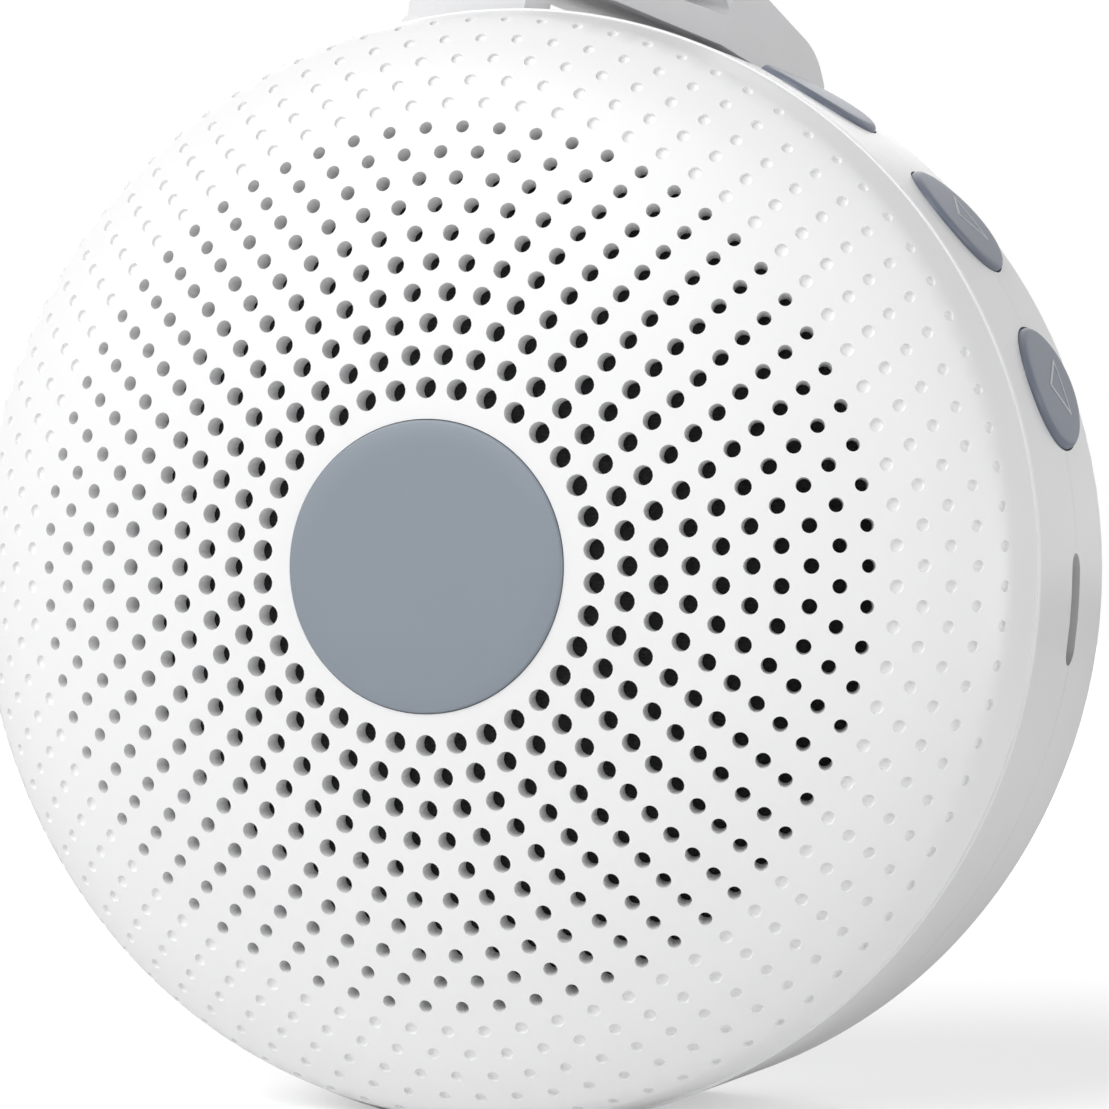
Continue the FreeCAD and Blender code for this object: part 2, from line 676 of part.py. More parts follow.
# Speaker, on the front of the web
speaker_basket = revolved("speaker_basket", [
    ("speaker_radius", "web_depth"), ("speaker_opening - fit_gap", "web_depth"),
    ("speaker_opening - fit_gap", "web_depth + web_thickness"),
    ("magnet_radius - 1", "web_depth + basket_depth"),
    ("cone_throat + 1.2", "web_depth + basket_depth"),
    ("cone_throat + 1.2", "web_depth + basket_depth - basket_wall"),
    ("magnet_radius - 1 - basket_wall / 2", "web_depth + basket_depth - basket_wall"),
    ("speaker_opening - fit_gap - basket_wall", "web_depth + web_thickness"),
    ("speaker_opening - fit_gap - basket_wall", FLANGE_FRONT),
    ("speaker_radius", FLANGE_FRONT)])
frame_bores = speaker_fixings("frame_bore", "speaker_shank_radius + screw_clearance", FLANGE_FRONT + " - 1",
                              "speaker_flange + 2")
speaker_frame = seat(cut("speaker_frame", speaker_basket, fuse("frame_drill", *frame_bores)))
speaker_surround = seat(revolved("speaker_surround", [
    ("speaker_opening - 0.2", FLANGE_FRONT, "-(speaker_opening - 0.2 - surround_inner) / 2 - 0.4"),
    ("surround_inner", FLANGE_FRONT),
    ("surround_inner", FLANGE_FRONT + " - cone_thickness"),
    ("surround_inner + 0.01", FLANGE_FRONT + " - cone_thickness",
     "(speaker_opening - 0.21 - surround_inner) / 2 + 0.8"),
    ("speaker_opening - 0.2", FLANGE_FRONT + " - cone_thickness")]))
speaker_cone = seat(revolved("speaker_cone", [
    ("surround_inner", FLANGE_FRONT), ("cone_throat", FLANGE_FRONT + " + cone_depth"),
    ("cone_throat", FLANGE_FRONT + " + cone_depth - cone_thickness"),
    ("surround_inner - cone_thickness", FLANGE_FRONT + " - cone_thickness"),
    ("surround_inner", FLANGE_FRONT + " - cone_thickness")]))
cap_disc = axis_cylinder("cap_disc", "cone_throat", FLANGE_FRONT + " + cone_depth - 2 * cone_thickness",
                         "cone_thickness")
dust_cap = seat(turned_copy("dust_cap", cap_disc, 0))
voice_coil = seat(cut("voice_coil",
                      axis_cylinder("coil_outside", "cone_throat", FLANGE_FRONT + " + cone_depth",
                                    "basket_depth - cone_depth + 2"),
                      axis_cylinder("coil_inside", "cone_throat - 0.4", "0", "2 * back_depth")))
speaker_magnet = seat(cut("speaker_magnet",
                          axis_cylinder("magnet_disc", "magnet_radius", "web_depth + basket_depth",
                                        "magnet_thickness"),
                          axis_cylinder("magnet_eye", "cone_throat + 1.2", "0", "2 * back_depth")))
back_plate = axis_cylinder("back_plate", "magnet_radius", "web_depth + basket_depth + magnet_thickness",
                           "back_plate_thickness")
pole = axis_cylinder("pole_piece", "cone_throat - 0.8", "web_depth + basket_depth",
                     "magnet_thickness + 0.2")
speaker_pole = seat(fuse("speaker_pole", back_plate, pole))

speaker_heads = speaker_fixings("speaker_head", "speaker_head_radius", FLANGE_FRONT + " - speaker_head_height",
                                "speaker_head_height")
speaker_shanks = speaker_fixings("speaker_shank", "speaker_shank_radius", FLANGE_FRONT,
                                 "speaker_flange + web_thickness")
speaker_screws_made = [fuse("speaker_screw_%d" % index, head, shank)
                       for index, (head, shank) in enumerate(zip(speaker_heads, speaker_shanks), start=1)]
speaker_screws = seat(group("speaker_screws", speaker_screws_made))

# Battery, behind the web on the left
battery_cell = make("Part::Cylinder", "battery_cell", Radius="battery_radius", Height="battery_length")
bind(battery_cell, Placement__Base__x=with_sheet("-battery_offset"),
     Placement__Base__y=with_sheet(FRONT + " + " + BACK_INSIDE + " - battery_pad_thickness - battery_radius"),
     Placement__Base__z=with_sheet(AXIS_HEIGHT + " - battery_length / 2"))
battery_pad = make("Part::Box", "battery_pad", Length="battery_radius * 1.6", Width="battery_pad_thickness",
                   Height="battery_length * 0.7")
bind(battery_pad, Placement__Base__x=with_sheet("-battery_offset - battery_radius * 0.8"),
     Placement__Base__y=with_sheet(FRONT + " + " + BACK_INSIDE + " - battery_pad_thickness"),
     Placement__Base__z=with_sheet(AXIS_HEIGHT + " - battery_length * 0.35"))

# Screws that hold the halves together and the board down
housing_heads = posts("housing_head", "screw_head_radius", "back_depth - screw_head_height",
                      "back_depth")
housing_shanks = posts("housing_shank", "screw_radius", "back_depth - 10", "back_depth - screw_head_height")
housing_screws = seat(group("housing_screws", [fuse("housing_screw_%d" % index, head, shank)
                            for index, (head, shank) in enumerate(zip(housing_heads, housing_shanks))]))
board_screws_made = []
for index in range(1, len(BOARD_SCREWS) + 1):
    head = axis_cylinder("board_head_%d" % index, "screw_head_radius - 0.4", BOARD_FRONT + " - 0.9", "0.9")
    shank = axis_cylinder("board_shank_%d" % index, "screw_radius", BOARD_FRONT, "board_thickness")
    for part in (head, shank):
        part.setExpression("Placement.Base.x", "board_post_%d.Placement.Base.x" % index)
        part.setExpression("Placement.Base.z", "board_post_%d.Placement.Base.z" % index)
    board_screws_made.append(fuse("board_screw_%d" % index, head, shank))
board_screws = seat(group("board_screws", board_screws_made))

# Strap and its pin
reach = size("strap_reach")
height = size("strap_height")
thick = size("strap_thickness")
half_strap = size("strap_width / 2")
front_face = -thick / 2


def rounded(corners, width):
    """A prism across the strap's width, over an outline whose corners are (run, height, radius)."""
    points = [Vector(0, run, rise) for run, rise, radius in corners]
    starts = []
    ends = []
    arcs = []
    for index, (run, rise, radius) in enumerate(corners):
        corner = points[index]
        before = (points[index - 1] - corner).normalize()
        after = (points[(index + 1) % len(points)] - corner).normalize()
        half = before.getAngle(after) / 2
        inward = (before + after).normalize()
        step = radius / math.tan(half)
        starts.append(corner + before * step)
        ends.append(corner + after * step)
        arcs.append(corner + inward * (radius / math.sin(half) - radius))
    edges = []
    for index in range(len(corners)):
        if (ends[index] - starts[index]).Length > 1e-6:
            edges.append(Part.Arc(starts[index], arcs[index], ends[index]).toShape())
        edges.append(Part.LineSegment(ends[index], starts[(index + 1) % len(corners)]).toShape())
    solid = Part.Face(Part.Wire(edges)).extrude(Vector(width, 0, 0))
    solid.translate(Vector(-width / 2, 0, 0))
    return solid


loop_outside = rounded([
    (front_face, 7.0, 0.0), (front_face, height, 9.5), (reach, height, 9.5), (reach, 10.6, 6.0),
    (33.0, 4.4, 2.0), (35.6, 0.0, 1.6), (33.4, -3.0, 1.6), (30.4, -2.4, 1.2), (28.0, 1.5, 2.0),
    (20.6, 3.9, 6.0), (6.5, 6.7, 3.0)], 2 * half_strap)
loop_inside = rounded([
    (front_face + thick, 9.6, 1.6), (front_face + thick, height - thick, 6.7),
    (reach - thick, height - thick, 6.7), (reach - thick, 9.0, 2.0), (21.4, 6.6, 0.4)],
    2 * half_strap + 4.0)
neck = Part.makeBox(2 * half_neck, thick, 9.0, Vector(-half_neck, front_face, 0))
barrel = Part.makeCylinder(size("knuckle_radius"), 2 * half_neck, Vector(-half_neck, 0, 0), Vector(1, 0, 0))
bore = Part.makeCylinder(size("pin_radius + pin_clearance"), 40, Vector(-20, 0, 0), Vector(1, 0, 0))
strap_shape = loop_outside.cut(loop_inside).fuse([neck, barrel]).cut(bore).removeSplitter()
strap_blank = doc.addObject("Part::Feature", "strap_blank")
strap_blank.Shape = strap_shape
strap_blank.Placement = STRAP_PLACE
hanging_strap = seat(turned_copy("hanging_strap", strap_blank, 0))
pin_shape = doc.addObject("Part::Feature", "pin_shape")
pin_shape.Shape = Part.makeCylinder(size("pin_radius"), 2 * pin_half - 0.1, Vector(-pin_half + 0.05, 0, 0),
                                    Vector(1, 0, 0))
pin_shape.Placement = STRAP_PLACE
strap_pin = seat(turned_copy("strap_pin", pin_shape, 0))

NODES = {
    "grille_cover": grille_cover, "emblem_disc": emblem_disc, "dust_cloth": dust_cloth,
    "front_housing": front_housing, "rear_housing": rear_housing,
    "lower_button": keys[0], "middle_button": keys[1], "upper_button": keys[2],
    "key_switches": key_switches, "main_board": main_board, "board_chips": board_chips,
    "charging_port": charging_port, "charging_tongue": charging_tongue,
    "speaker_frame": speaker_frame, "speaker_surround": speaker_surround,
    "speaker_cone": speaker_cone, "dust_cap": dust_cap, "voice_coil": voice_coil,
    "speaker_magnet": speaker_magnet, "speaker_pole": speaker_pole,
    "speaker_screws": speaker_screws, "battery_cell": battery_cell, "battery_pad": battery_pad,
    "housing_screws": housing_screws, "board_screws": board_screws,
    "strap_pin": strap_pin, "hanging_strap": hanging_strap,
}
for label, thing in NODES.items():
    thing.Label = label

doc.recompute()
for thing in doc.Objects:
    if "Invalid" in thing.State or "Error" in thing.State:
        raise RuntimeError("%s failed: %s" % (thing.Name, thing.getStatusString()))
os.makedirs("parts", exist_ok=True)
for label, thing in NODES.items():
    if thing.Shape.isNull() or not thing.Shape.isValid():
        raise RuntimeError("%s has no valid shape" % label)
for label, thing in NODES.items():
    thing.Shape.exportStep("parts/%s.step" % label)
    box = thing.Shape.BoundBox
    print("%-18s solids %d volume %8.1f  x %.1f..%.1f  y %.1f..%.1f  z %.1f..%.1f" % (
        label, len(thing.Shape.Solids), thing.Shape.Volume,
        box.XMin, box.XMax, box.YMin, box.YMax, box.ZMin, box.ZMax))
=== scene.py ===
import math

import bmesh
import bpy
from mathutils import Matrix, Vector
from mathutils.geometry import delaunay_2d_cdt


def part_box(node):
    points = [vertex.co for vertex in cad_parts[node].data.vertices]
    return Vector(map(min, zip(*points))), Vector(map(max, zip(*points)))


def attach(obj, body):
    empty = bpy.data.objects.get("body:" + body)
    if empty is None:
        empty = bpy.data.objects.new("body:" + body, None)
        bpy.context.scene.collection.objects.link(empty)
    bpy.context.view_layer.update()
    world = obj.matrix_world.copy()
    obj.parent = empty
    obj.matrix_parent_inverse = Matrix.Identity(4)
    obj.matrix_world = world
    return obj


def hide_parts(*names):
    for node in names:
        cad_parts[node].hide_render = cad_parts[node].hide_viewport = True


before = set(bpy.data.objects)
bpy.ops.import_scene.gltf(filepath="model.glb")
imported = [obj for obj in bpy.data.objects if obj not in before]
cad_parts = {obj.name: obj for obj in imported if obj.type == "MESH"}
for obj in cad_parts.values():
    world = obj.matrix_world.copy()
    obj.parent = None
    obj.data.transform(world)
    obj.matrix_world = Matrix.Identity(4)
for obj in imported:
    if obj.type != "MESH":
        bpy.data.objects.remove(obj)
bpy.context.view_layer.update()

# A portable white noise sound machine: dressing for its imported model.
# Metres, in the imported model's frame: -Y is the perforated front, +Z is up.

bl_info = {
    "name": "Sound Machine",
    "version": (1, 0, 0),
    "blender": (4, 5, 0),
    "location": "3D View > Sidebar > Sound Machine",
    "description": "Dresses the packed sound machine and sets its studio",
    "category": "Add Mesh",
}

MM = 0.001
BAND_RADIUS = 50.0
BODY_DEPTH = 42.6
AXIS_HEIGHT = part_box("front_housing")[1].z - BAND_RADIUS * MM
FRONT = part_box("rear_housing")[1].y - BODY_DEPTH * MM

# All lengths below are in mm, unless a comment says otherwise.
# The face is a chain of tangent arcs from its apex out: (radius, distance from the axis at its end).
# The shoulder is the last arc, and ends at the slope of the skirt.
FACE_STRETCHES = [(195.0, 27.0), (50.0, 42.4), (22.0, 47.8)]
SHOULDER_RADIUS = 4.0
SKIRT_SLOPE = math.radians(76.9)
# Corners (radius, depth) of the skirt, of the narrow ledge at the rim and of the wall's way back in
SKIRT_CORNERS = [
    (49.22, 13.75), (49.48, 14.9), (49.66, 15.75), (49.76, 16.28), (49.79, 16.40), (49.95, 16.44),
    (50.0, 16.52), (50.0, 17.04), (48.1, 17.04), (47.95, 16.2), (47.6, 14.8),
]
COVER_WALL = 1.9
RECESS_RADIUS = 12.675
RECESS_DEPTH = 1.2
EMBLEM_GAP = 0.12

HOLE_RINGS = 10
DIMPLE_RINGS = 5
FIRST_RING = 15.37
RING_STEP = 2.83
STEP_LOSS = 0.073
HOLES_FIRST = 34
HOLES_ADDED = 4
HOLE_CORNERS = 16
# A dimple from its rim inwards: (share of its radius, share of its depth, corners, whether its edge is kept)
DIMPLE_LEVELS = [(1.0, 0.0, 14, True), (0.90, 0.85, 14, True), (0.70, 1.0, 10, False)]

# Plain rings that keep the triangles even: (place along the face, points)
RIM_POINTS = 360
RIM_MARGIN = 0.42
RECESS_POINTS = 144
RINGS_PAST_RECESS = [(0.35, 144), (1.0, 110)]
INNER_MIDDLE_RINGS = [(5.0, 30), (10.0, 60), (13.4, 80)]
INNER_EDGE_RINGS = [(42.0, 150), (44.5, 180), (47.0, 240), (49.0, 300), (50.6, RIM_POINTS)]

KEY_ANGLES = {"lower_button": 18.6, "middle_button": 38.5, "upper_button": 58.4}
KEY_DEPTH = 31.0
KEY_POINTS = 112
FLANGE_REACH = 0.7
FLANGE_FLOOR = 45.8
FLANGE_TOP = 46.6
MARK_RADIUS = 3.3
MARK_ROUNDING = 0.35
MARK_LENGTHENED = 1.02
MARK_NARROWED = 0.98
MARK_SETBACK = 1.3
MARK_RISE = 0.035
MARK_SINK = 0.05

STRAP_TURN = math.radians(-28.0)
STRAP_LEAN = math.radians(14.0)
PIN_SIDE = -5.1
PIN_DEPTH = 24.6
PIN_RISE = 47.5
PIN_BORE = 1.06
KNUCKLE_RADIUS = 2.6
NECK_TOP = 8.4
NECK_HALF_WIDTH = 8.0
LOOP_HEIGHT = 41.0
LOOP_REACH = 22.2
ROUND_STEPS = 12

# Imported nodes: corners this close, in metres, are joined, and edges this sharp stay sharp.
JOIN_DISTANCE = 1e-6
SHARP_ANGLE = math.radians(28.0)

# Sockets of a Mix node that mixes colours
MIX_FACTOR, MIX_FIRST, MIX_SECOND, MIX_RESULT = 0, 6, 7, 2

SENSOR_WIDTH = 36.0

# Studio, in metres
CAMERA_PLACE = (0.1332, -0.35832, 0.04712)
CAMERA_AHEAD = (-0.3451, 0.9386, 0.00815)
MACHINE_MIDDLE = (0.0, -0.01, AXIS_HEIGHT)
PORT_SIDE = (0.05, 0.0, 0.035)
FLOOR_SIZE = 6.0
WHITE = (1.0, 1.0, 1.0, 1.0)
# The world's strength as a light, and the floor's glow near the machine and how far out it fades to white
WORLD_LIGHT = 0.27
GLOW_NEAR = 0.42
FADE_START = 0.05
FADE_END = 0.55


def colour_prop(name, description, value):
    return bpy.props.FloatVectorProperty(
        name=name, description=description, default=value, size=3, min=0.0, max=1.0, subtype="COLOR")


def length_prop(name, description, value):
    return bpy.props.FloatProperty(
        name=name, description=description, default=value * MM, min=0.0, precision=5, unit="LENGTH")


class FrontSettings(bpy.types.PropertyGroup):
    first_bore: length_prop("First Bore", "Radius of the holes next to the emblem", 0.94)
    last_bore: length_prop("Last Bore", "Radius of the holes in the outermost open ring", 0.60)
    dimple_first: length_prop("First Dimple", "Radius of the dimples next to the holes", 0.60)
    dimple_last: length_prop("Last Dimple", "Radius of the dimples at the rim", 0.50)
    dimple_depth: length_prop("Dimple Depth", "How deep a dimple goes", 0.34)


class KeySettings(bpy.types.PropertyGroup):
    half_length: length_prop("Half Length", "Half of a key's size along the depth", 7.7)
    half_height: length_prop("Half Height", "Half of a key's size round the band", 5.7)
    crown: length_prop("Crown", "Distance of a key's face from the round axis", 50.55)
    edge: length_prop("Edge", "Width of the soft edge round a key's face", 0.65)
    mark_width: length_prop("Mark Width", "Width of the line of a key's mark", 0.34)


class StrapSettings(bpy.types.PropertyGroup):
    width: length_prop("Width", "Width of the strap", 22.0)
    thickness: length_prop("Thickness", "Thickness of the strap", 2.8)
    edge: length_prop("Edge", "Radius of the strap's long edges", 0.9)


class FinishSettings(bpy.types.PropertyGroup):
    shell: colour_prop("Shell", "Perforated front", (0.90, 0.90, 0.905))
    band: colour_prop("Band", "Both halves of the band and the back", (0.80, 0.80, 0.81))
    emblem: colour_prop("Emblem", "Disc in the middle of the front", (0.245, 0.283, 0.328))
    key: colour_prop("Key", "Side keys", (0.150, 0.172, 0.222))
    mark: colour_prop("Mark", "Line on a key", (0.50, 0.51, 0.54))
    strap: colour_prop("Strap", "Hanging strap", (0.80, 0.80, 0.81))


class StudioSettings(bpy.types.PropertyGroup):
    floor: colour_prop("Floor", "Floor and backdrop", (0.92, 0.92, 0.92))
    lens: bpy.props.FloatProperty(
        name="Lens", description="Focal length of the camera", default=134.7, min=1.0, unit="CAMERA")
    key_power: bpy.props.FloatProperty(
        name="Key Light", description="Power of the large front light", default=4.6, min=0.0, unit="POWER")
    side_power: bpy.props.FloatProperty(
        name="Side Light", description="Power of the low light on the right", default=0.55, min=0.0,
        unit="POWER")
    back_power: bpy.props.FloatProperty(
        name="Back Light", description="Power of the light behind on the left", default=1.3, min=0.0,
        unit="POWER")


# Mesh helpers


def on_axis(radius, angle, depth):
    """A point by its radius and angle about the round axis and its depth behind the apex, in mm."""
    return Vector((radius * MM * math.cos(angle), FRONT + depth * MM,
                   AXIS_HEIGHT + radius * MM * math.sin(angle)))


def deselect_all():
    if bpy.context.object and bpy.context.object.mode != "OBJECT":
        bpy.ops.object.mode_set(mode="OBJECT")
    bpy.ops.object.select_all(action="DESELECT")


def choose(obj):
    deselect_all()
    bpy.context.view_layer.objects.active = obj
    obj.select_set(True)
    return obj


def make_piece(name, points, faces):
    mesh = bpy.data.meshes.new(name)
    mesh.from_pydata(points, [], faces)
    mesh.update()
    obj = bpy.data.objects.new(name, mesh)
    bpy.context.scene.collection.objects.link(obj)
    return choose(obj)


def settle(obj):
    """Bring a piece's place into its mesh."""
    choose(obj)
    bpy.ops.object.transform_apply(location=True, rotation=True, scale=True)


def outward(obj):
    """Turn all faces outwards."""
    choose(obj)
    bpy.ops.object.mode_set(mode="EDIT")
    bpy.ops.mesh.select_all(action="SELECT")
    bpy.ops.mesh.normals_make_consistent(inside=False)
    bpy.ops.object.mode_set(mode="OBJECT")
    return obj


def smooth(obj, degrees):
    choose(obj)
    bpy.ops.object.shade_smooth_by_angle(angle=math.radians(degrees))


def finish_piece(obj, material, body, *nodes):
    """Give a piece its finish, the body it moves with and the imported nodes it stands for."""
    obj.data.materials.clear()
    obj.data.materials.append(material)
    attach(obj, body)
    if nodes:
        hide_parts(*nodes)


# Node trees


class Reading:
    """A socket whose value varies, with arithmetic."""

    def __init__(self, tree, socket):
        self.tree = tree
        self.socket = socket

    def maths(self, operation, *values, clamp=False):
        settings = {"operation": operation, "use_clamp": clamp}
        return self.tree.read(self.tree.node("ShaderNodeMath", settings, dict(enumerate(values))))

    def __add__(self, other):
        return self.maths("ADD", self, other)

    def __radd__(self, other):
        return self.maths("ADD", other, self)

    def __sub__(self, other):
        return self.maths("SUBTRACT", self, other)

    def __rsub__(self, other):
        return self.maths("SUBTRACT", other, self)

    def __mul__(self, other):
        return self.maths("MULTIPLY", self, other)

    def __rmul__(self, other):
        return self.maths("MULTIPLY", other, self)

    def larger(self, other):
        return self.maths("MAXIMUM", self, other)

    def sine(self):
        return self.maths("SINE", self)

    def clamped(self):
        return self.maths("ADD", self, 0.0, clamp=True)


class Tree:
    """A node tree, filled with nodes that get their settings and what feeds their sockets."""

    def __init__(self, tree):
        self.nodes = tree.nodes
        self.links = tree.links
        self.nodes.clear()

    def read(self, node, output=0):
        return Reading(self, node.outputs[output])

    def node(self, kind, settings=None, values=None):
        node = self.nodes.new(kind)
        for key, value in (settings or {}).items():
            setattr(node, key, value)
        for key, value in (values or {}).items():
            self.feed(node.inputs[key], value)
        return node

    def feed(self, socket, value):
        """Link a reading or a node's first output to a socket, or set the socket's own value."""
        if isinstance(value, Reading):
            self.links.new(value.socket, socket)
        elif isinstance(value, bpy.types.Node):
            self.links.new(value.outputs[0], socket)
        else:
            socket.default_value = value


def opaque(colour):
    return tuple(colour) + (1.0,)


def darker(colour, share):
    return tuple(part * share for part in colour)


class Finish(Tree):
    """One material, built from a Principled shader and readings."""

    def __init__(self, name, colour, roughness, **sockets):
        self.material = bpy.data.materials.new(name)
        self.material.use_nodes = True
        super().__init__(self.material.node_tree)
        self.colour = opaque(colour)
        values = {"Base Color": self.colour, "Roughness": roughness}
        values.update({socket.replace("_", " "): value for socket, value in sockets.items()})
        self.shader = self.node("ShaderNodeBsdfPrincipled", None, values)
        self.node("ShaderNodeOutputMaterial", None, {"Surface": self.shader})
        self.place = self.read(self.node("ShaderNodeTexCoord"), "Object")

    def stretched(self, scale, shift=(0.0, 0.0, 0.0)):
        """Places stretched by a scale, then shifted."""
        return self.read(self.node("ShaderNodeMapping", {"vector_type": "POINT"},
                                   {"Vector": self.place, "Location": shift, "Scale": scale}))

    def noise(self, scale, detail, roughness=0.5, place=None):
        values = {"Vector": place or self.place, "Scale": scale, "Detail": detail, "Roughness": roughness}
        return self.read(self.node("ShaderNodeTexNoise", None, values), "Fac")

    def cells(self, scale, feature="F1"):
        values = {"Vector": self.place, "Scale": scale}
        return self.read(self.node("ShaderNodeTexVoronoi", {"feature": feature}, values), "Distance")

    def waves(self, scale, direction):
        settings = {"bands_direction": direction, "wave_profile": "SIN"}
        values = {"Vector": self.place, "Scale": scale}
        return self.read(self.node("ShaderNodeTexWave", settings, values), "Fac")

    def from_axis(self):
        """Distance from the round axis, in metres."""
        centred = self.stretched((1.0, 1.0, 1.0), (0.0, 0.0, -AXIS_HEIGHT))
        flat = self.node("ShaderNodeVectorMath", {"operation": "MULTIPLY"}, {0: centred, 1: (1.0, 0.0, 1.0)})
        return self.read(self.node("ShaderNodeVectorMath", {"operation": "LENGTH"}, {0: flat}), "Value")

    def tint(self, other, factor):
        """Mix another colour into the base colour."""
        mix = self.node("ShaderNodeMix", {"data_type": "RGBA"},
                        {MIX_FACTOR: factor, MIX_FIRST: self.colour, MIX_SECOND: opaque(other)})
        self.feed(self.shader.inputs["Base Color"], self.read(mix, MIX_RESULT))

    def roughen(self, reading):
        self.feed(self.shader.inputs["Roughness"], reading)

    def bump(self, reading, height, strength):
        """Raise the surface by a reading, to a height in mm."""
        values = {"Height": reading, "Distance": height * MM, "Strength": strength}
        self.feed(self.shader.inputs["Normal"], self.node("ShaderNodeBump", None, values))


def even_walls():
    """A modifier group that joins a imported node's triangles and shades its curved walls evenly."""
    group = bpy.data.node_groups.get("even_walls")
    if group:
        return group
    group = bpy.data.node_groups.new("even_walls", "GeometryNodeTree")
    for side in ("INPUT", "OUTPUT"):
        group.interface.new_socket("Geometry", in_out=side, socket_type="NodeSocketGeometry")
    tree = Tree(group)
    start = tree.node("NodeGroupInput")
    merge = tree.node("GeometryNodeMergeByDistance", None, {"Geometry": start, "Distance": JOIN_DISTANCE})
    faces = tree.node("GeometryNodeSetShadeSmooth", {"domain": "FACE"},
                      {"Geometry": merge, "Shade Smooth": True})
    angle = tree.read(tree.node("GeometryNodeInputMeshEdgeAngle"), "Unsigned Angle")
    sharp = tree.node("FunctionNodeCompare", {"data_type": "FLOAT", "operation": "GREATER_THAN"},
                      {0: angle, 1: SHARP_ANGLE})
    edges = tree.node("GeometryNodeSetShadeSmooth", {"domain": "EDGE"},
                      {"Geometry": faces, "Selection": sharp, "Shade Smooth": False})
    tree.node("NodeGroupOutput", None, {"Geometry": edges})
    return group


def dress_node(name, material):
    """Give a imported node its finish."""
    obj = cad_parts[name]
    obj.data.materials.clear()
    obj.data.materials.append(material)
    obj.modifiers.new("even_walls", "NODES").node_group = even_walls()


# Finishes


def moulded_finish(name, colour, roughness, grain=2600.0, **sockets):
    """Satin moulded plastic: a fine spark grain, slow drifts of shade and a little wear in the gloss."""
    finish = Finish(name, colour, roughness, **sockets)
    sparks = finish.noise(grain, 4.0, 0.6)
    drift = finish.noise(34.0, 2.0)
    finish.tint(darker(colour, 0.94), drift * 0.5)
    finish.roughen(roughness - 0.05 + sparks * 0.06 + drift * 0.06)
    finish.bump(sparks, 0.01, 0.25)
    return finish.material


def plate_finish(name, colour):
    """Painted plate with faint turned rings."""
    finish = Finish(name, colour, 0.38, Coat_Weight=0.1)
    rings = (finish.from_axis() * 2600.0).sine()
    grain = finish.noise(2400.0, 4.0, 0.6)
    drift = finish.noise(60.0, 2.0)
    finish.tint(darker(colour, 0.92), drift * 0.6)
    finish.roughen(0.36 + grain * 0.08)
    finish.bump(grain + rings * 0.15, 0.01, 0.25)
    return finish.material


def silicone_finish(name, colour):
    """Soft silicone: dull, with a faint bloom and fine lint."""
    finish = Finish(name, colour, 0.55, Sheen_Weight=0.12, Sheen_Roughness=0.5)
    bloom = finish.noise(70.0, 3.0)
    lint = finish.cells(900.0)
    finish.tint(darker(colour, 0.93), bloom * 0.6)
    finish.roughen(0.47 + bloom * 0.12)
    finish.bump(finish.noise(1900.0, 3.0) + lint * 0.4, 0.012, 0.3)
    return finish.material


def cloth_finish(name):
    """Acoustic cloth: two crossing sets of fine black threads."""
    finish = Finish(name, (0.010, 0.010, 0.011), 0.9, Sheen_Weight=0.1)
    warp = finish.waves(900.0, "X")
    weft = finish.waves(900.0, "Z")
    finish.tint((0.024, 0.024, 0.026), warp * weft)
    finish.roughen(0.82 + warp * 0.12)
    finish.bump(warp + weft, 0.04, 0.5)
    return finish.material


def steel_finish(name, colour=(0.56, 0.57, 0.59)):
    """Plated steel with fine drawn lines."""
    finish = Finish(name, colour, 0.32, Metallic=1.0)
    lines = finish.noise(900.0, 3.0, 0.6, finish.stretched((1.0, 0.12, 1.0)))
    finish.tint(darker(colour, 0.75), lines)
    finish.roughen(0.22 + lines * 0.2)
    finish.bump(lines, 0.01, 0.3)
    return finish.material


def board_finish(name):
    """Green solder mask over a mesh of tracks."""
    finish = Finish(name, (0.010, 0.080, 0.040), 0.35, Coat_Weight=0.3)
    tracks = (finish.cells(330.0, "DISTANCE_TO_EDGE") * 9.0).clamped()
    finish.tint((0.040, 0.200, 0.090), 1.0 - tracks)
    finish.roughen(0.30 + tracks * 0.12)
    finish.bump(1.0 - tracks, 0.03, 0.5)
    return finish.material


def pulp_finish(name, colour):
    """Pressed paper pulp with short fibres."""
    finish = Finish(name, colour, 0.85)
    fibres = finish.noise(800.0, 5.0, 0.7, finish.stretched((1.0, 2.6, 0.7)))
    finish.tint(darker(colour, 2.2), fibres * 0.6)
    finish.roughen(0.74 + fibres * 0.2)
    finish.bump(fibres, 0.06, 0.5)
    return finish.material


def winding_finish(name):
    """Enamelled copper wire wound round the axis."""
    finish = Finish(name, (0.55, 0.22, 0.09), 0.3, Metallic=0.9)
    turns = finish.waves(700.0, "Y")
    finish.tint((0.22, 0.07, 0.03), 1.0 - turns)
    finish.roughen(0.24 + turns * 0.12)
    finish.bump(turns, 0.08, 0.6)
    return finish.material


def sintered_finish(name):
    """Pressed magnet powder: dark, with open pores."""
    finish = Finish(name, (0.045, 0.046, 0.050), 0.7, Metallic=0.3)
    pores = finish.noise(1500.0, 5.0, 0.7)
    finish.tint((0.11, 0.11, 0.12), pores * 0.7)
    finish.roughen(0.55 + pores * 0.3)
    finish.bump(pores, 0.05, 0.6)
    return finish.material


def wrap_finish(name):
    """Shrink wrap on the cell, with long faint wrinkles."""
    finish = Finish(name, (0.030, 0.100, 0.300), 0.25, Coat_Weight=0.4)
    wrinkles = finish.noise(260.0, 3.0, 0.5, finish.stretched((1.0, 1.0, 0.15)))
    finish.tint((0.020, 0.060, 0.200), wrinkles)
    finish.roughen(0.20 + wrinkles * 0.2)
    finish.bump(wrinkles, 0.08, 0.4)
    return finish.material


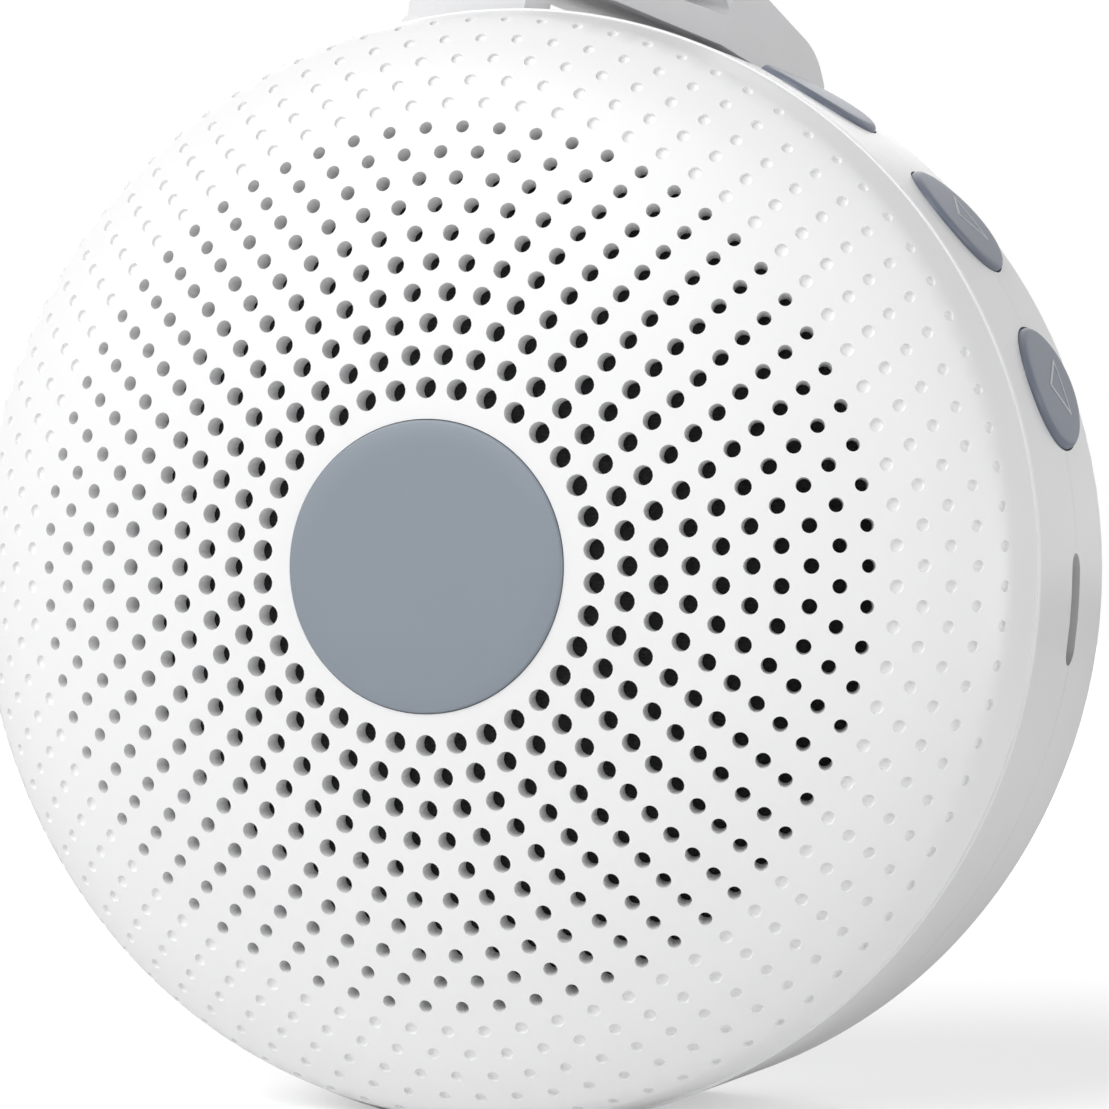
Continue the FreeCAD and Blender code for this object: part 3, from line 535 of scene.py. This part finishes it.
def foam_finish(name):
    """Open foam with small cells."""
    finish = Finish(name, (0.62, 0.62, 0.60), 0.95)
    pores = finish.cells(1300.0)
    finish.tint((0.35, 0.35, 0.33), pores)
    finish.roughen(0.85 + pores * 0.1)
    finish.bump(pores, 0.1, 0.6)
    return finish.material


# Perforated front


def face_arcs():
    """Centre (radius, depth), radius and end slope of each arc of the face, from its apex outwards."""
    arcs = []
    before = FACE_STRETCHES[0][0]
    out, depth, slope = 0.0, before, 0.0
    for radius, end in [*FACE_STRETCHES, (SHOULDER_RADIUS, None)]:
        out += (before - radius) * math.sin(slope)
        depth -= (before - radius) * math.cos(slope)
        slope = SKIRT_SLOPE if end is None else math.asin((end - out) / radius)
        arcs.append((out, depth, radius, slope))
        before = radius
    return arcs


def arc_ends(arcs):
    """Length along the face at which each arc ends."""
    total, before = 0.0, 0.0
    ends = []
    for *centre, radius, slope in arcs:
        total += radius * (slope - before)
        before = slope
        ends.append(total)
    return ends


FACE_ARCS = face_arcs()
FACE_ENDS = arc_ends(FACE_ARCS)


def face_at(length, inset=0.0):
    """Radius, depth and slope of the front at a length along its outer face, at an inset below it."""
    start = 0.0
    slope = 0.0
    for (out, depth, radius, stop), end in zip(FACE_ARCS, FACE_ENDS):
        if length <= end + 1e-9:
            slope += (length - start) / radius
            break
        start = end
        slope = stop
    reach = radius - inset
    return out + reach * math.sin(slope), depth - reach * math.cos(slope), slope


def length_at(radius_out):
    """Length along the face at a radius, found by halving."""
    low, high = 0.0, FACE_ENDS[-1]
    for halving in range(50):
        middle = (low + high) / 2
        if face_at(middle)[0] < radius_out:
            low = middle
        else:
            high = middle
    return (low + high) / 2


def ring_layout(settings):
    """Radius, count, half-pitch offset, radius of a hole or dimple and whether it is open, for each ring."""
    rings = []
    radius = FIRST_RING
    step = RING_STEP
    for ring in range(HOLE_RINGS + DIMPLE_RINGS):
        open_ring = ring < HOLE_RINGS
        if open_ring:
            share = ring / (HOLE_RINGS - 1)
            bore = settings.first_bore * (1 - share) + settings.last_bore * share
        else:
            share = (ring - HOLE_RINGS) / (DIMPLE_RINGS - 1)
            bore = settings.dimple_first * (1 - share) + settings.dimple_last * share
        offset = 0.5 if ring % 2 == 0 else 0.0
        rings.append((radius, HOLES_FIRST + HOLES_ADDED * ring, offset, bore / MM, open_ring))
        radius += step
        step -= STEP_LOSS
    return rings


class FaceSheet:
    """Points of the front, at an inset from its face, laid out flat by length and angle to triangulate."""

    def __init__(self, inset=0.0):
        self.inset = inset
        self.flat = []
        self.places = []
        self.edges = []

    def point(self, length, angle, sink=0.0):
        self.flat.append(Vector((length * math.cos(angle), length * math.sin(angle))))
        self.places.append((length, angle, sink))
        return len(self.flat) - 1

    def loop(self, indices):
        self.edges += [(a, b) for a, b in zip(indices, indices[1:] + indices[:1])]
        return indices

    def circle(self, length, angle, radius, corners, sink=0.0, closed=True):
        """A circle that is round on the face itself."""
        out = face_at(length)[0]
        indices = []
        for corner in range(corners):
            turn = 2 * math.pi * corner / corners
            indices.append(self.point(length + radius * math.cos(turn),
                                      angle + radius * math.sin(turn) / out, sink))
        return self.loop(indices) if closed else indices

    def ring(self, length, count, offset=0.0, closed=False):
        indices = [self.point(length, 2 * math.pi * (step + offset) / count) for step in range(count)]
        return self.loop(indices) if closed else indices

    def triangles(self, keep):
        """Triangles whose middle is to be kept."""
        result = delaunay_2d_cdt(self.flat, self.edges, [], 0, 1e-7)
        faces, sources = result[2], result[3]
        kept = []
        for face in faces:
            corners = [sources[index][0] for index in face]
            middle = sum((self.flat[index] for index in corners), Vector((0.0, 0.0))) / len(corners)
            if keep(middle):
                kept.append(corners)
        return kept

    def on_front(self):
        """The points in their real places."""
        points = []
        for length, angle, sink in self.places:
            radius, depth, slope = face_at(length, self.inset + sink)
            points.append(on_axis(radius, angle, depth))
        return points


def lay_rings(sheet, rings, dimple_depth):
    """Lay holes, dimples and plain rings between them. Gives the holes' loops and the rings' lengths."""
    holes = []
    lengths = [length_at(radius) for radius, count, offset, bore, open_ring in rings]
    for (radius, count, offset, bore, open_ring), length in zip(rings, lengths):
        if not open_ring and not dimple_depth:
            continue
        for place in range(count):
            angle = 2 * math.pi * (place + offset) / count
            if open_ring:
                holes.append(sheet.circle(length, angle, bore, HOLE_CORNERS))
                continue
            for share, deep, corners, closed in DIMPLE_LEVELS:
                sheet.circle(length, angle, bore * share, corners, dimple_depth * deep, closed)
            sheet.point(length, angle, dimple_depth)
    for index in range(len(rings) - 1):
        if rings[index + 1][4] or dimple_depth:
            count = rings[index][1] * 2
            sheet.ring((lengths[index] + lengths[index + 1]) / 2, count, 0.5 * (index % 2))
    return holes, lengths


def inside_hole(rings, lengths, middle):
    """Whether a flat point lies in an open hole."""
    length = middle.length
    angle = math.atan2(middle.y, middle.x)
    for (radius, count, offset, bore, open_ring), ring_length in zip(rings, lengths):
        if not open_ring or abs(length - ring_length) > bore:
            continue
        place = round(angle * count / (2 * math.pi) - offset) + offset
        across = (angle - 2 * math.pi * place / count) * radius
        if math.hypot(across, length - ring_length) < bore * 0.985:
            return True
    return False


def lay_outer(rings, dimple_depth):
    """The outer face from the rim of the emblem's recess to the skirt: sheet, triangles, holes and rims."""
    sheet = FaceSheet()
    holes, lengths = lay_rings(sheet, rings, dimple_depth)
    recess = length_at(RECESS_RADIUS)
    recess_rim = sheet.ring(recess, RECESS_POINTS, closed=True)
    for past, count in RINGS_PAST_RECESS:
        sheet.ring(recess + past, count, 0.5)
    rim = sheet.ring(FACE_ENDS[-1], RIM_POINTS, closed=True)
    sheet.ring(FACE_ENDS[-1] - RIM_MARGIN, RIM_POINTS, 0.5)
    triangles = sheet.triangles(lambda middle: middle.length > recess * 0.9995
                                and not inside_hole(rings, lengths, middle))
    return sheet, triangles, holes, recess_rim, rim


def lay_inner(rings):
    """The inner face, the whole way across: sheet, triangles, holes and rim."""
    sheet = FaceSheet(COVER_WALL)
    holes, lengths = lay_rings(sheet, rings, 0.0)
    sheet.point(0.0, 0.0)
    for length, count in INNER_MIDDLE_RINGS:
        sheet.ring(length, count)
    for length, count in INNER_EDGE_RINGS:
        sheet.ring(length, count, 0.5)
    rim = sheet.ring(FACE_ENDS[-1], RIM_POINTS, closed=True)
    return sheet, sheet.triangles(lambda middle: not inside_hole(rings, lengths, middle)), holes, rim


class Shell:
    """Points and faces of a closed wall."""

    def __init__(self):
        self.points = []
        self.faces = []

    def take(self, sheet, triangles):
        """Add a sheet and its triangles. Gives the number of its first point."""
        shift = len(self.points)
        self.points += sheet.on_front()
        self.faces += [tuple(index + shift for index in triangle) for triangle in triangles]
        return shift

    def join(self, ring, other):
        """Faces between two closed rings of points."""
        for step in range(len(ring)):
            after = (step + 1) % len(ring)
            self.faces.append((ring[step], other[step], other[after], ring[after]))

    def lathe(self, start, profile):
        """Carry a closed ring of points along corners (radius, depth). Gives the last ring."""
        ring = start
        count = len(start)
        for radius, depth in profile:
            first = len(self.points)
            self.points += [on_axis(radius, 2 * math.pi * step / count, depth) for step in range(count)]
            fresh = list(range(first, first + count))
            self.join(ring, fresh)
            ring = fresh
        return ring


def shade_face(obj, sheet, triangles):
    """Give the outer face, whose triangles come first, the dome's own normals outside its dimples."""
    mesh = obj.data
    face_normals = []
    for length, angle, sink in sheet.places:
        slope = face_at(length)[2]
        face_normals.append(Vector((math.sin(slope) * math.cos(angle), -math.cos(slope),
                                    math.sin(slope) * math.sin(angle))))
    sunk = [place[2] > 0.0 for place in sheet.places]
    normals = [Vector((0.0, 0.0, 0.0))] * len(mesh.loops)
    for polygon in mesh.polygons[:len(triangles)]:
        if any(sunk[mesh.loops[index].vertex_index] for index in polygon.loop_indices):
            continue
        for index in polygon.loop_indices:
            normals[index] = face_normals[mesh.loops[index].vertex_index]
    mesh.normals_split_custom_set(normals)


def build_front(settings):
    """The perforated dome with its skirt, and the recess for the emblem, as one closed wall."""
    rings = ring_layout(settings)
    outer, outer_triangles, outer_holes, recess_rim, outer_rim = lay_outer(rings, settings.dimple_depth / MM)
    inner, inner_triangles, inner_holes, inner_rim = lay_inner(rings)
    shell = Shell()
    shell.take(outer, outer_triangles)
    shift = shell.take(inner, [list(reversed(triangle)) for triangle in inner_triangles])
    for front_loop, back_loop in zip(outer_holes, inner_holes):
        shell.join(front_loop, [index + shift for index in back_loop])
    skirt = shell.lathe(outer_rim, SKIRT_CORNERS)
    shell.join(skirt, [index + shift for index in inner_rim])
    floor = shell.lathe(recess_rim, [(radius, RECESS_DEPTH) for radius in (RECESS_RADIUS, 6.0, 2.5)])
    shell.faces.append(tuple(floor))
    # The machine stands on a narrow flat, which also cuts the rim.
    for point in shell.points:
        point.z = max(point.z, 0.0)
    obj = outward(make_piece("perforated_front", shell.points, shell.faces))
    smooth(obj, 30.0)
    shade_face(obj, outer, outer_triangles)
    return obj


class SOUNDMACHINE_OT_perforated_front(bpy.types.Operator):
    """Build the domed front with its rings of holes and dimples"""

    bl_idname = "soundmachine.perforated_front"
    bl_label = "Perforated Front"

    def execute(self, context):
        colours = context.scene.soundmachine_finish
        obj = build_front(context.scene.soundmachine_front)
        material = moulded_finish("white_front_shell", colours.shell, 0.42, Coat_Weight=0.08,
                                  Coat_Roughness=0.3)
        finish_piece(obj, material, "housing", "grille_cover")
        dress_node("dust_cloth", cloth_finish("acoustic_cloth"))
        return {"FINISHED"}


def build_emblem():
    """The disc in the recess, with a fine bevel round its face and rings that keep the face even."""
    low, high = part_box("emblem_disc")
    radius = (high.x - low.x) / 2
    thick = (RECESS_DEPTH - EMBLEM_GAP) * MM
    near_face = low.y + thick * 0.1
    deselect_all()
    bpy.ops.mesh.primitive_cylinder_add(
        vertices=160, radius=radius, depth=thick, end_fill_type="NGON",
        location=(0.0, low.y + thick / 2, AXIS_HEIGHT), rotation=(math.radians(90), 0.0, 0.0))
    plate = bpy.context.object
    plate.name = plate.data.name = "emblem_plate"
    settle(plate)
    bpy.ops.object.mode_set(mode="EDIT")
    bpy.ops.mesh.select_all(action="DESELECT")
    sheet = bmesh.from_edit_mesh(plate.data)
    for edge in sheet.edges:
        edge.select = all(vert.co.y < near_face for vert in edge.verts)
    sheet.select_flush(True)
    bmesh.update_edit_mesh(plate.data)
    bpy.ops.mesh.bevel(offset=0.22 * MM, segments=3, profile=0.5)
    bpy.ops.mesh.select_all(action="DESELECT")
    sheet = bmesh.from_edit_mesh(plate.data)
    for face in sheet.faces:
        face.select = len(face.verts) > 12 and face.calc_center_median().y < near_face
    bmesh.update_edit_mesh(plate.data)
    for width in (1.8, 3.5, 3.5):
        bpy.ops.mesh.inset(thickness=width * MM, depth=0.0)
    bpy.ops.object.mode_set(mode="OBJECT")
    smooth(plate, 30.0)
    return plate


class SOUNDMACHINE_OT_emblem_plate(bpy.types.Operator):
    """Turn the bare disc that sits in the middle of the front"""

    bl_idname = "soundmachine.emblem_plate"
    bl_label = "Emblem Plate"

    def execute(self, context):
        plate = build_emblem()
        material = plate_finish("blue_grey_plate", context.scene.soundmachine_finish.emblem)
        finish_piece(plate, material, "housing", "emblem_disc")
        return {"FINISHED"}


# Side keys


def key_point(angle, along, across, radius):
    """A point of a key by its place along the depth and round the band, at a radius from the axis."""
    out = math.sqrt(radius * radius - across * across)
    side = out * math.cos(angle) - across * math.sin(angle)
    rise = out * math.sin(angle) + across * math.cos(angle)
    return Vector((side * MM, FRONT + (KEY_DEPTH + along) * MM, AXIS_HEIGHT + rise * MM))


def build_key(name, angle, settings):
    """An oval cap with a soft edge, on its flange. A stack of ovals is drawn up, then bent to the band."""
    length = settings.half_length / MM
    height = settings.half_height / MM
    crown = settings.crown / MM
    edge = settings.edge / MM
    deselect_all()
    bpy.ops.mesh.primitive_circle_add(
        vertices=KEY_POINTS, radius=1.0, fill_type="NGON", location=(0.0, 0.0, 0.0))
    obj = bpy.context.object
    obj.name = obj.data.name = name
    # Each level is (inset of the oval, distance from the axis, whether it follows the band).
    levels = [
        (-FLANGE_REACH, FLANGE_FLOOR, False), (-FLANGE_REACH, FLANGE_TOP, False), (0.0, FLANGE_TOP, False),
        (0.0, crown - 0.75, True), (0.03, crown - 0.42, True), (0.12, crown - 0.24, True),
        (edge * 0.45, crown - 0.09, True), (edge * 0.75, crown - 0.02, True), (edge, crown, True),
        (edge + 1.0, crown, True), (edge + 2.4, crown, True), (edge + 3.9, crown, True),
    ]
    bpy.ops.object.mode_set(mode="EDIT")
    bpy.ops.mesh.select_all(action="SELECT")
    for level in levels[1:]:
        bpy.ops.mesh.extrude_region_move(TRANSFORM_OT_translate={"value": (0.0, 0.0, 1.0)})
    bpy.ops.object.mode_set(mode="OBJECT")
    for vertex in obj.data.vertices:
        inset, radius, follows = levels[int(round(vertex.co.z))]
        turn = math.atan2(vertex.co.y, vertex.co.x)
        along = (length - inset) * math.cos(turn)
        across = (height - inset) * math.sin(turn)
        vertex.co = key_point(angle, along, across, radius if follows else math.hypot(radius, across))
    outward(obj)
    smooth(obj, 40.0)
    return obj


def build_mark(name, angle, settings):
    """A line in the shape of a triangle that points to the front, on a key's face."""
    deselect_all()
    bpy.ops.mesh.primitive_circle_add(
        vertices=3, radius=MARK_RADIUS, fill_type="NGON", location=(0.0, 0.0, 0.0))
    obj = bpy.context.object
    obj.name = obj.data.name = name
    bpy.ops.object.mode_set(mode="EDIT")
    bpy.ops.mesh.select_all(action="SELECT")
    bpy.ops.mesh.bevel(offset=MARK_ROUNDING, segments=3, affect="VERTICES")
    bpy.ops.mesh.select_all(action="SELECT")
    bpy.ops.mesh.inset(thickness=settings.mark_width / MM, depth=0.0)
    bpy.ops.mesh.delete(type="ONLY_FACE")
    bpy.ops.mesh.select_all(action="SELECT")
    bpy.ops.mesh.subdivide(number_cuts=4)
    bpy.ops.mesh.extrude_region_move(TRANSFORM_OT_translate={"value": (0.0, 0.0, 1.0)})
    bpy.ops.object.mode_set(mode="OBJECT")
    crown = settings.crown / MM
    for vertex in obj.data.vertices:
        # The circle's first corner points along its own +Y, which becomes the front.
        along = -vertex.co.y * MARK_LENGTHENED + MARK_SETBACK
        across = vertex.co.x * MARK_NARROWED
        rise = MARK_RISE if vertex.co.z > 0.5 else -MARK_SINK
        vertex.co = key_point(angle, along, across, crown + rise)
    return outward(obj)


class SOUNDMACHINE_OT_side_keys(bpy.types.Operator):
    """Build the oval keys on the band and the marks on them"""

    bl_idname = "soundmachine.side_keys"
    bl_label = "Side Keys"

    def execute(self, context):
        settings = context.scene.soundmachine_keys
        colours = context.scene.soundmachine_finish
        key_material = moulded_finish("blue_grey_key", colours.key, 0.42, 2200.0)
        mark_material = moulded_finish("pale_key_mark", colours.mark, 0.45, 3000.0)
        for node, degrees in KEY_ANGLES.items():
            angle = math.radians(degrees)
            key = build_key(node + "_cap", angle, settings)
            finish_piece(key, key_material, node, node)
            if node != "upper_button":
                mark = build_mark(node + "_mark", angle, settings)
                finish_piece(mark, mark_material, node)
        return {"FINISHED"}


# Hanging strap


def rounded_outline(corners):
    """Points of an outline whose corners (run, height, radius) are rounded."""
    points = []
    for index, (run, height, radius) in enumerate(corners):
        corner = Vector((run, height))
        before = (Vector(corners[index - 1][:2]) - corner).normalized()
        after = (Vector(corners[(index + 1) % len(corners)][:2]) - corner).normalized()
        if radius <= 0.0:
            points.append(corner)
            continue
        half = math.acos(max(-1.0, min(1.0, before.dot(after)))) / 2
        centre = corner + (before + after).normalized() * (radius / math.sin(half))
        start = corner + before * (radius / math.tan(half)) - centre
        end = corner + after * (radius / math.tan(half)) - centre
        sweep = math.pi - 2 * half
        turn = 1.0 if start.x * end.y - start.y * end.x > 0 else -1.0
        for step in range(ROUND_STEPS + 1):
            angle = turn * sweep * step / ROUND_STEPS
            points.append(centre + Matrix.Rotation(angle, 2) @ start)
    return points


def strap_place():
    """The strap's own axes: width, run and height from its pin."""
    turn = Matrix.Rotation(STRAP_TURN, 4, "Z") @ Matrix.Rotation(STRAP_LEAN, 4, "Y")
    pin = Vector((PIN_SIDE * MM, FRONT + PIN_DEPTH * MM, AXIS_HEIGHT + PIN_RISE * MM))
    return Matrix.Translation(pin) @ turn @ Matrix.Scale(MM, 4)


def within(point, ring):
    """Whether a flat point lies inside a closed outline."""
    inside = False
    for one, two in zip(ring, ring[1:] + ring[:1]):
        if (one.y > point.y) != (two.y > point.y):
            if point.x < one.x + (point.y - one.y) * (two.x - one.x) / (two.y - one.y):
                inside = not inside
    return inside


def strap_prism(name, outline, hole, half_width):
    """A prism across the strap's width over an outline with one hole."""
    count = len(outline)
    edges = [(index, (index + 1) % count) for index in range(count)]
    edges += [(count + index, count + (index + 1) % len(hole)) for index in range(len(hole))]
    result = delaunay_2d_cdt([Vector(point) for point in outline + hole], edges, [], 2, 1e-6)
    made, faces = result[0], result[2]
    kept = []
    for face in faces:
        middle = sum((made[index] for index in face), Vector((0.0, 0.0))) / len(face)
        if within(middle, outline) and not within(middle, hole):
            kept.append(face)
    obj = make_piece(name, [Vector((-half_width, point.x, point.y)) for point in made], kept)
    bpy.ops.object.mode_set(mode="EDIT")
    bpy.ops.mesh.select_all(action="SELECT")
    bpy.ops.mesh.dissolve_limited(angle_limit=math.radians(1.0), delimit=set())
    bpy.ops.mesh.select_all(action="SELECT")
    bpy.ops.mesh.extrude_region_move(TRANSFORM_OT_translate={"value": (2 * half_width, 0.0, 0.0)})
    bpy.ops.object.mode_set(mode="OBJECT")
    return outward(obj)


def arc_points(radius, start, stop, step):
    """Points of an arc, by whole degrees from straight down."""
    turns = [math.radians(degrees) for degrees in range(start, stop, step)]
    return [Vector((radius * math.sin(turn), -radius * math.cos(turn))) for turn in turns]


def build_loop(settings):
    """The loop seen from its side, in corners (run, height, radius), carried across the strap's width."""
    thick = settings.thickness / MM
    front = -thick / 2
    outline = rounded_outline([
        (front, 7.0, 0.0), (front, LOOP_HEIGHT, 9.5), (LOOP_REACH, LOOP_HEIGHT, 9.5),
        (LOOP_REACH, 10.6, 6.0), (33.0, 4.4, 8.0), (35.6, 0.0, 2.8), (33.4, -3.0, 2.8),
        (30.4, -2.4, 1.2), (28.0, 1.5, 2.0), (20.6, 3.9, 6.0), (6.5, 6.7, 3.0)])
    hole = rounded_outline([
        (front + thick, 9.6, 1.6), (front + thick, LOOP_HEIGHT - thick, 6.7),
        (LOOP_REACH - thick, LOOP_HEIGHT - thick, 6.7), (LOOP_REACH - thick, 9.0, 2.0), (21.4, 6.6, 0.4)])
    loop = strap_prism("hanging_loop", outline, hole, settings.width / MM / 2)
    bevel = loop.modifiers.new("soft_edges", "BEVEL")
    bevel.width = settings.edge / MM
    bevel.segments = 4
    bevel.limit_method = "ANGLE"
    bevel.angle_limit = math.radians(50.0)
    bevel.harden_normals = False
    choose(loop)
    bpy.ops.object.modifier_apply(modifier=bevel.name)
    return loop


def build_neck(settings):
    """The neck with its barrel, bored for the pin."""
    half = settings.thickness / MM / 2
    neck = arc_points(KNUCKLE_RADIUS, -140, 141, 10) + [Vector((half, NECK_TOP)), Vector((-half, NECK_TOP))]
    return strap_prism("strap_neck", neck, arc_points(PIN_BORE, 90, 450, 15), NECK_HALF_WIDTH)


def build_strap(settings):
    pieces = [build_loop(settings), build_neck(settings)]
    for obj in pieces:
        obj.data.transform(strap_place())
        outward(obj)
        smooth(obj, 38.0)
    return pieces


class SOUNDMACHINE_OT_hanging_strap(bpy.types.Operator):
    """Build the soft loop that the machine hangs from, with its neck on the pin"""

    bl_idname = "soundmachine.hanging_strap"
    bl_label = "Hanging Strap"

    def execute(self, context):
        material = silicone_finish("pale_silicone", context.scene.soundmachine_finish.strap)
        for piece in build_strap(context.scene.soundmachine_strap):
            finish_piece(piece, material, "strap", "hanging_strap")
        dress_node("strap_pin", steel_finish("pin_steel"))
        return {"FINISHED"}


class SOUNDMACHINE_OT_housing(bpy.types.Operator):
    """Give both halves of the housing, the port and the screws their finish"""

    bl_idname = "soundmachine.housing"
    bl_label = "Housing"

    def execute(self, context):
        colours = context.scene.soundmachine_finish
        shell = moulded_finish("pale_band_shell", colours.band, 0.34, 2300.0, Coat_Weight=0.12,
                               Coat_Roughness=0.2)
        dress_node("front_housing", shell)
        dress_node("rear_housing", shell)
        dress_node("charging_port", steel_finish("port_steel", (0.30, 0.31, 0.33)))
        dress_node("charging_tongue", moulded_finish("black_port_tongue", (0.012, 0.012, 0.013), 0.5))
        dress_node("housing_screws", steel_finish("screw_steel", (0.34, 0.34, 0.36)))
        return {"FINISHED"}


class SOUNDMACHINE_OT_inner_parts(bpy.types.Operator):
    """Give the speaker, the board, the battery and their fixings their finish"""

    bl_idname = "soundmachine.inner_parts"
    bl_label = "Inner Parts"

    def execute(self, context):
        black = moulded_finish("black_moulding", (0.014, 0.014, 0.015), 0.5, 1800.0)
        pulp = pulp_finish("speaker_pulp", (0.020, 0.020, 0.021))
        screws = steel_finish("small_screw_steel")
        finishes = {
            "speaker_frame": black,
            "key_switches": black,
            "board_chips": moulded_finish("chip_resin", (0.018, 0.018, 0.019), 0.65, 1500.0),
            "speaker_surround": silicone_finish("surround_rubber", (0.016, 0.016, 0.017)),
            "speaker_cone": pulp,
            "dust_cap": pulp,
            "voice_coil": winding_finish("copper_winding"),
            "speaker_magnet": sintered_finish("magnet_ferrite"),
            "speaker_pole": steel_finish("pole_steel", (0.42, 0.43, 0.45)),
            "speaker_screws": screws,
            "board_screws": screws,
            "main_board": board_finish("board_mask"),
            "battery_cell": wrap_finish("cell_wrap"),
            "battery_pad": foam_finish("pad_foam"),
        }
        for node, material in finishes.items():
            dress_node(node, material)
        return {"FINISHED"}


# Studio


def add_light(name, place, target, width, height, power):
    """A rectangular light that faces its target, in metres."""
    light = bpy.data.lights.new(name, "AREA")
    light.shape = "RECTANGLE"
    light.size = width
    light.size_y = height
    light.energy = power
    obj = bpy.data.objects.new(name, light)
    obj.location = place
    obj.rotation_euler = (Vector(target) - obj.location).to_track_quat("-Z", "Y").to_euler()
    bpy.context.scene.collection.objects.link(obj)


def add_camera(lens):
    """The camera where the photograph was taken from."""
    camera = bpy.data.objects.new("studio_camera", bpy.data.cameras.new("studio_camera"))
    camera.location = CAMERA_PLACE
    camera.rotation_euler = Vector(CAMERA_AHEAD).to_track_quat("-Z", "Y").to_euler()
    camera.data.lens = lens
    camera.data.sensor_width = SENSOR_WIDTH
    camera.data.clip_start = 0.01
    camera.data.clip_end = 20.0
    bpy.context.scene.collection.objects.link(camera)
    bpy.context.scene.camera = camera


def studio_world():
    """White behind and in reflections, with a weaker, even light on the object."""
    world = bpy.data.worlds.new("studio_world")
    world.use_nodes = True
    tree = Tree(world.node_tree)
    path = tree.node("ShaderNodeLightPath")
    camera = tree.read(path, "Is Camera Ray")
    seen = camera.larger(tree.read(path, "Is Transmission Ray")).larger(tree.read(path, "Is Glossy Ray"))
    light = tree.node("ShaderNodeBackground", None, {"Color": WHITE, "Strength": WORLD_LIGHT})
    back = tree.node("ShaderNodeBackground", None, {"Color": WHITE, "Strength": 1.0})
    mix = tree.node("ShaderNodeMixShader", None, {0: seen, 1: light, 2: back})
    tree.node("ShaderNodeOutputWorld", None, {"Surface": mix})
    return world


def floor_finish(colour):
    """A pale floor that keeps its shadows and fades to the white backdrop."""
    material = bpy.data.materials.new("pale_floor")
    material.use_nodes = True
    tree = Tree(material.node_tree)
    place = tree.read(tree.node("ShaderNodeTexCoord"), "Object")
    away = tree.node("ShaderNodeVectorMath", {"operation": "LENGTH"}, {0: place})
    fade = tree.node("ShaderNodeMapRange", {"interpolation_type": "SMOOTHSTEP"}, {
        "Value": tree.read(away, "Value"), "From Min": FADE_START, "From Max": FADE_END,
        "To Min": GLOW_NEAR, "To Max": 1.0})
    glow = tree.read(tree.node("ShaderNodeLightPath"), "Is Camera Ray") * tree.read(fade)
    diffuse = tree.node("ShaderNodeBsdfDiffuse", None, {"Color": opaque(colour)})
    emission = tree.node("ShaderNodeEmission", None, {"Color": WHITE, "Strength": glow})
    both = tree.node("ShaderNodeAddShader", None, {0: diffuse, 1: emission})
    tree.node("ShaderNodeOutputMaterial", None, {"Surface": both})
    return material


class SOUNDMACHINE_OT_studio(bpy.types.Operator):
    """Lay the pale floor and set the soft lights and the camera"""

    bl_idname = "soundmachine.studio"
    bl_label = "Studio"

    def execute(self, context):
        settings = context.scene.soundmachine_studio
        deselect_all()
        bpy.ops.mesh.primitive_plane_add(size=FLOOR_SIZE, location=(0.0, 0.0, 0.0))
        floor = context.object
        floor.name = floor.data.name = "studio_floor"
        floor.data.materials.append(floor_finish(settings.floor))
        context.scene.world = studio_world()
        add_light("front_softbox", (-0.24, -0.56, 0.50), MACHINE_MIDDLE, 0.70, 0.60, settings.key_power)
        add_light("right_low_strip", (0.42, -0.05, 0.02), PORT_SIDE, 0.25, 0.12, settings.side_power)
        add_light("back_fill", (-0.30, 0.62, 0.30), MACHINE_MIDDLE, 0.60, 0.50, settings.back_power)
        add_camera(settings.lens)
        context.scene.view_settings.view_transform = "Standard"
        return {"FINISHED"}


PIECES = [
    SOUNDMACHINE_OT_perforated_front,
    SOUNDMACHINE_OT_emblem_plate,
    SOUNDMACHINE_OT_side_keys,
    SOUNDMACHINE_OT_hanging_strap,
    SOUNDMACHINE_OT_housing,
    SOUNDMACHINE_OT_inner_parts,
    SOUNDMACHINE_OT_studio,
]
SETTINGS = {
    "soundmachine_front": FrontSettings,
    "soundmachine_keys": KeySettings,
    "soundmachine_strap": StrapSettings,
    "soundmachine_finish": FinishSettings,
    "soundmachine_studio": StudioSettings,
}


class SOUNDMACHINE_PT_panel(bpy.types.Panel):
    bl_label = "Sound Machine"
    bl_idname = "SOUNDMACHINE_PT_panel"
    bl_space_type = "VIEW_3D"
    bl_region_type = "UI"
    bl_category = "Sound Machine"

    def draw(self, context):
        for piece in PIECES:
            self.layout.operator(piece.bl_idname)
        for name, group in SETTINGS.items():
            box = self.layout.box()
            for prop in group.__annotations__:
                box.prop(getattr(context.scene, name), prop)


def register():
    for cls in [*SETTINGS.values(), *PIECES, SOUNDMACHINE_PT_panel]:
        bpy.utils.register_class(cls)
    for name, group in SETTINGS.items():
        setattr(bpy.types.Scene, name, bpy.props.PointerProperty(type=group))


def unregister():
    for name in SETTINGS:
        delattr(bpy.types.Scene, name)
    for cls in [SOUNDMACHINE_PT_panel, *reversed(PIECES), *reversed(list(SETTINGS.values()))]:
        bpy.utils.unregister_class(cls)


def main():
    register()
    bpy.ops.soundmachine.perforated_front()
    bpy.ops.soundmachine.emblem_plate()
    bpy.ops.soundmachine.side_keys()
    bpy.ops.soundmachine.hanging_strap()
    bpy.ops.soundmachine.housing()
    bpy.ops.soundmachine.inner_parts()
    bpy.ops.soundmachine.studio()
    deselect_all()


if __name__ == "__main__":
    main()
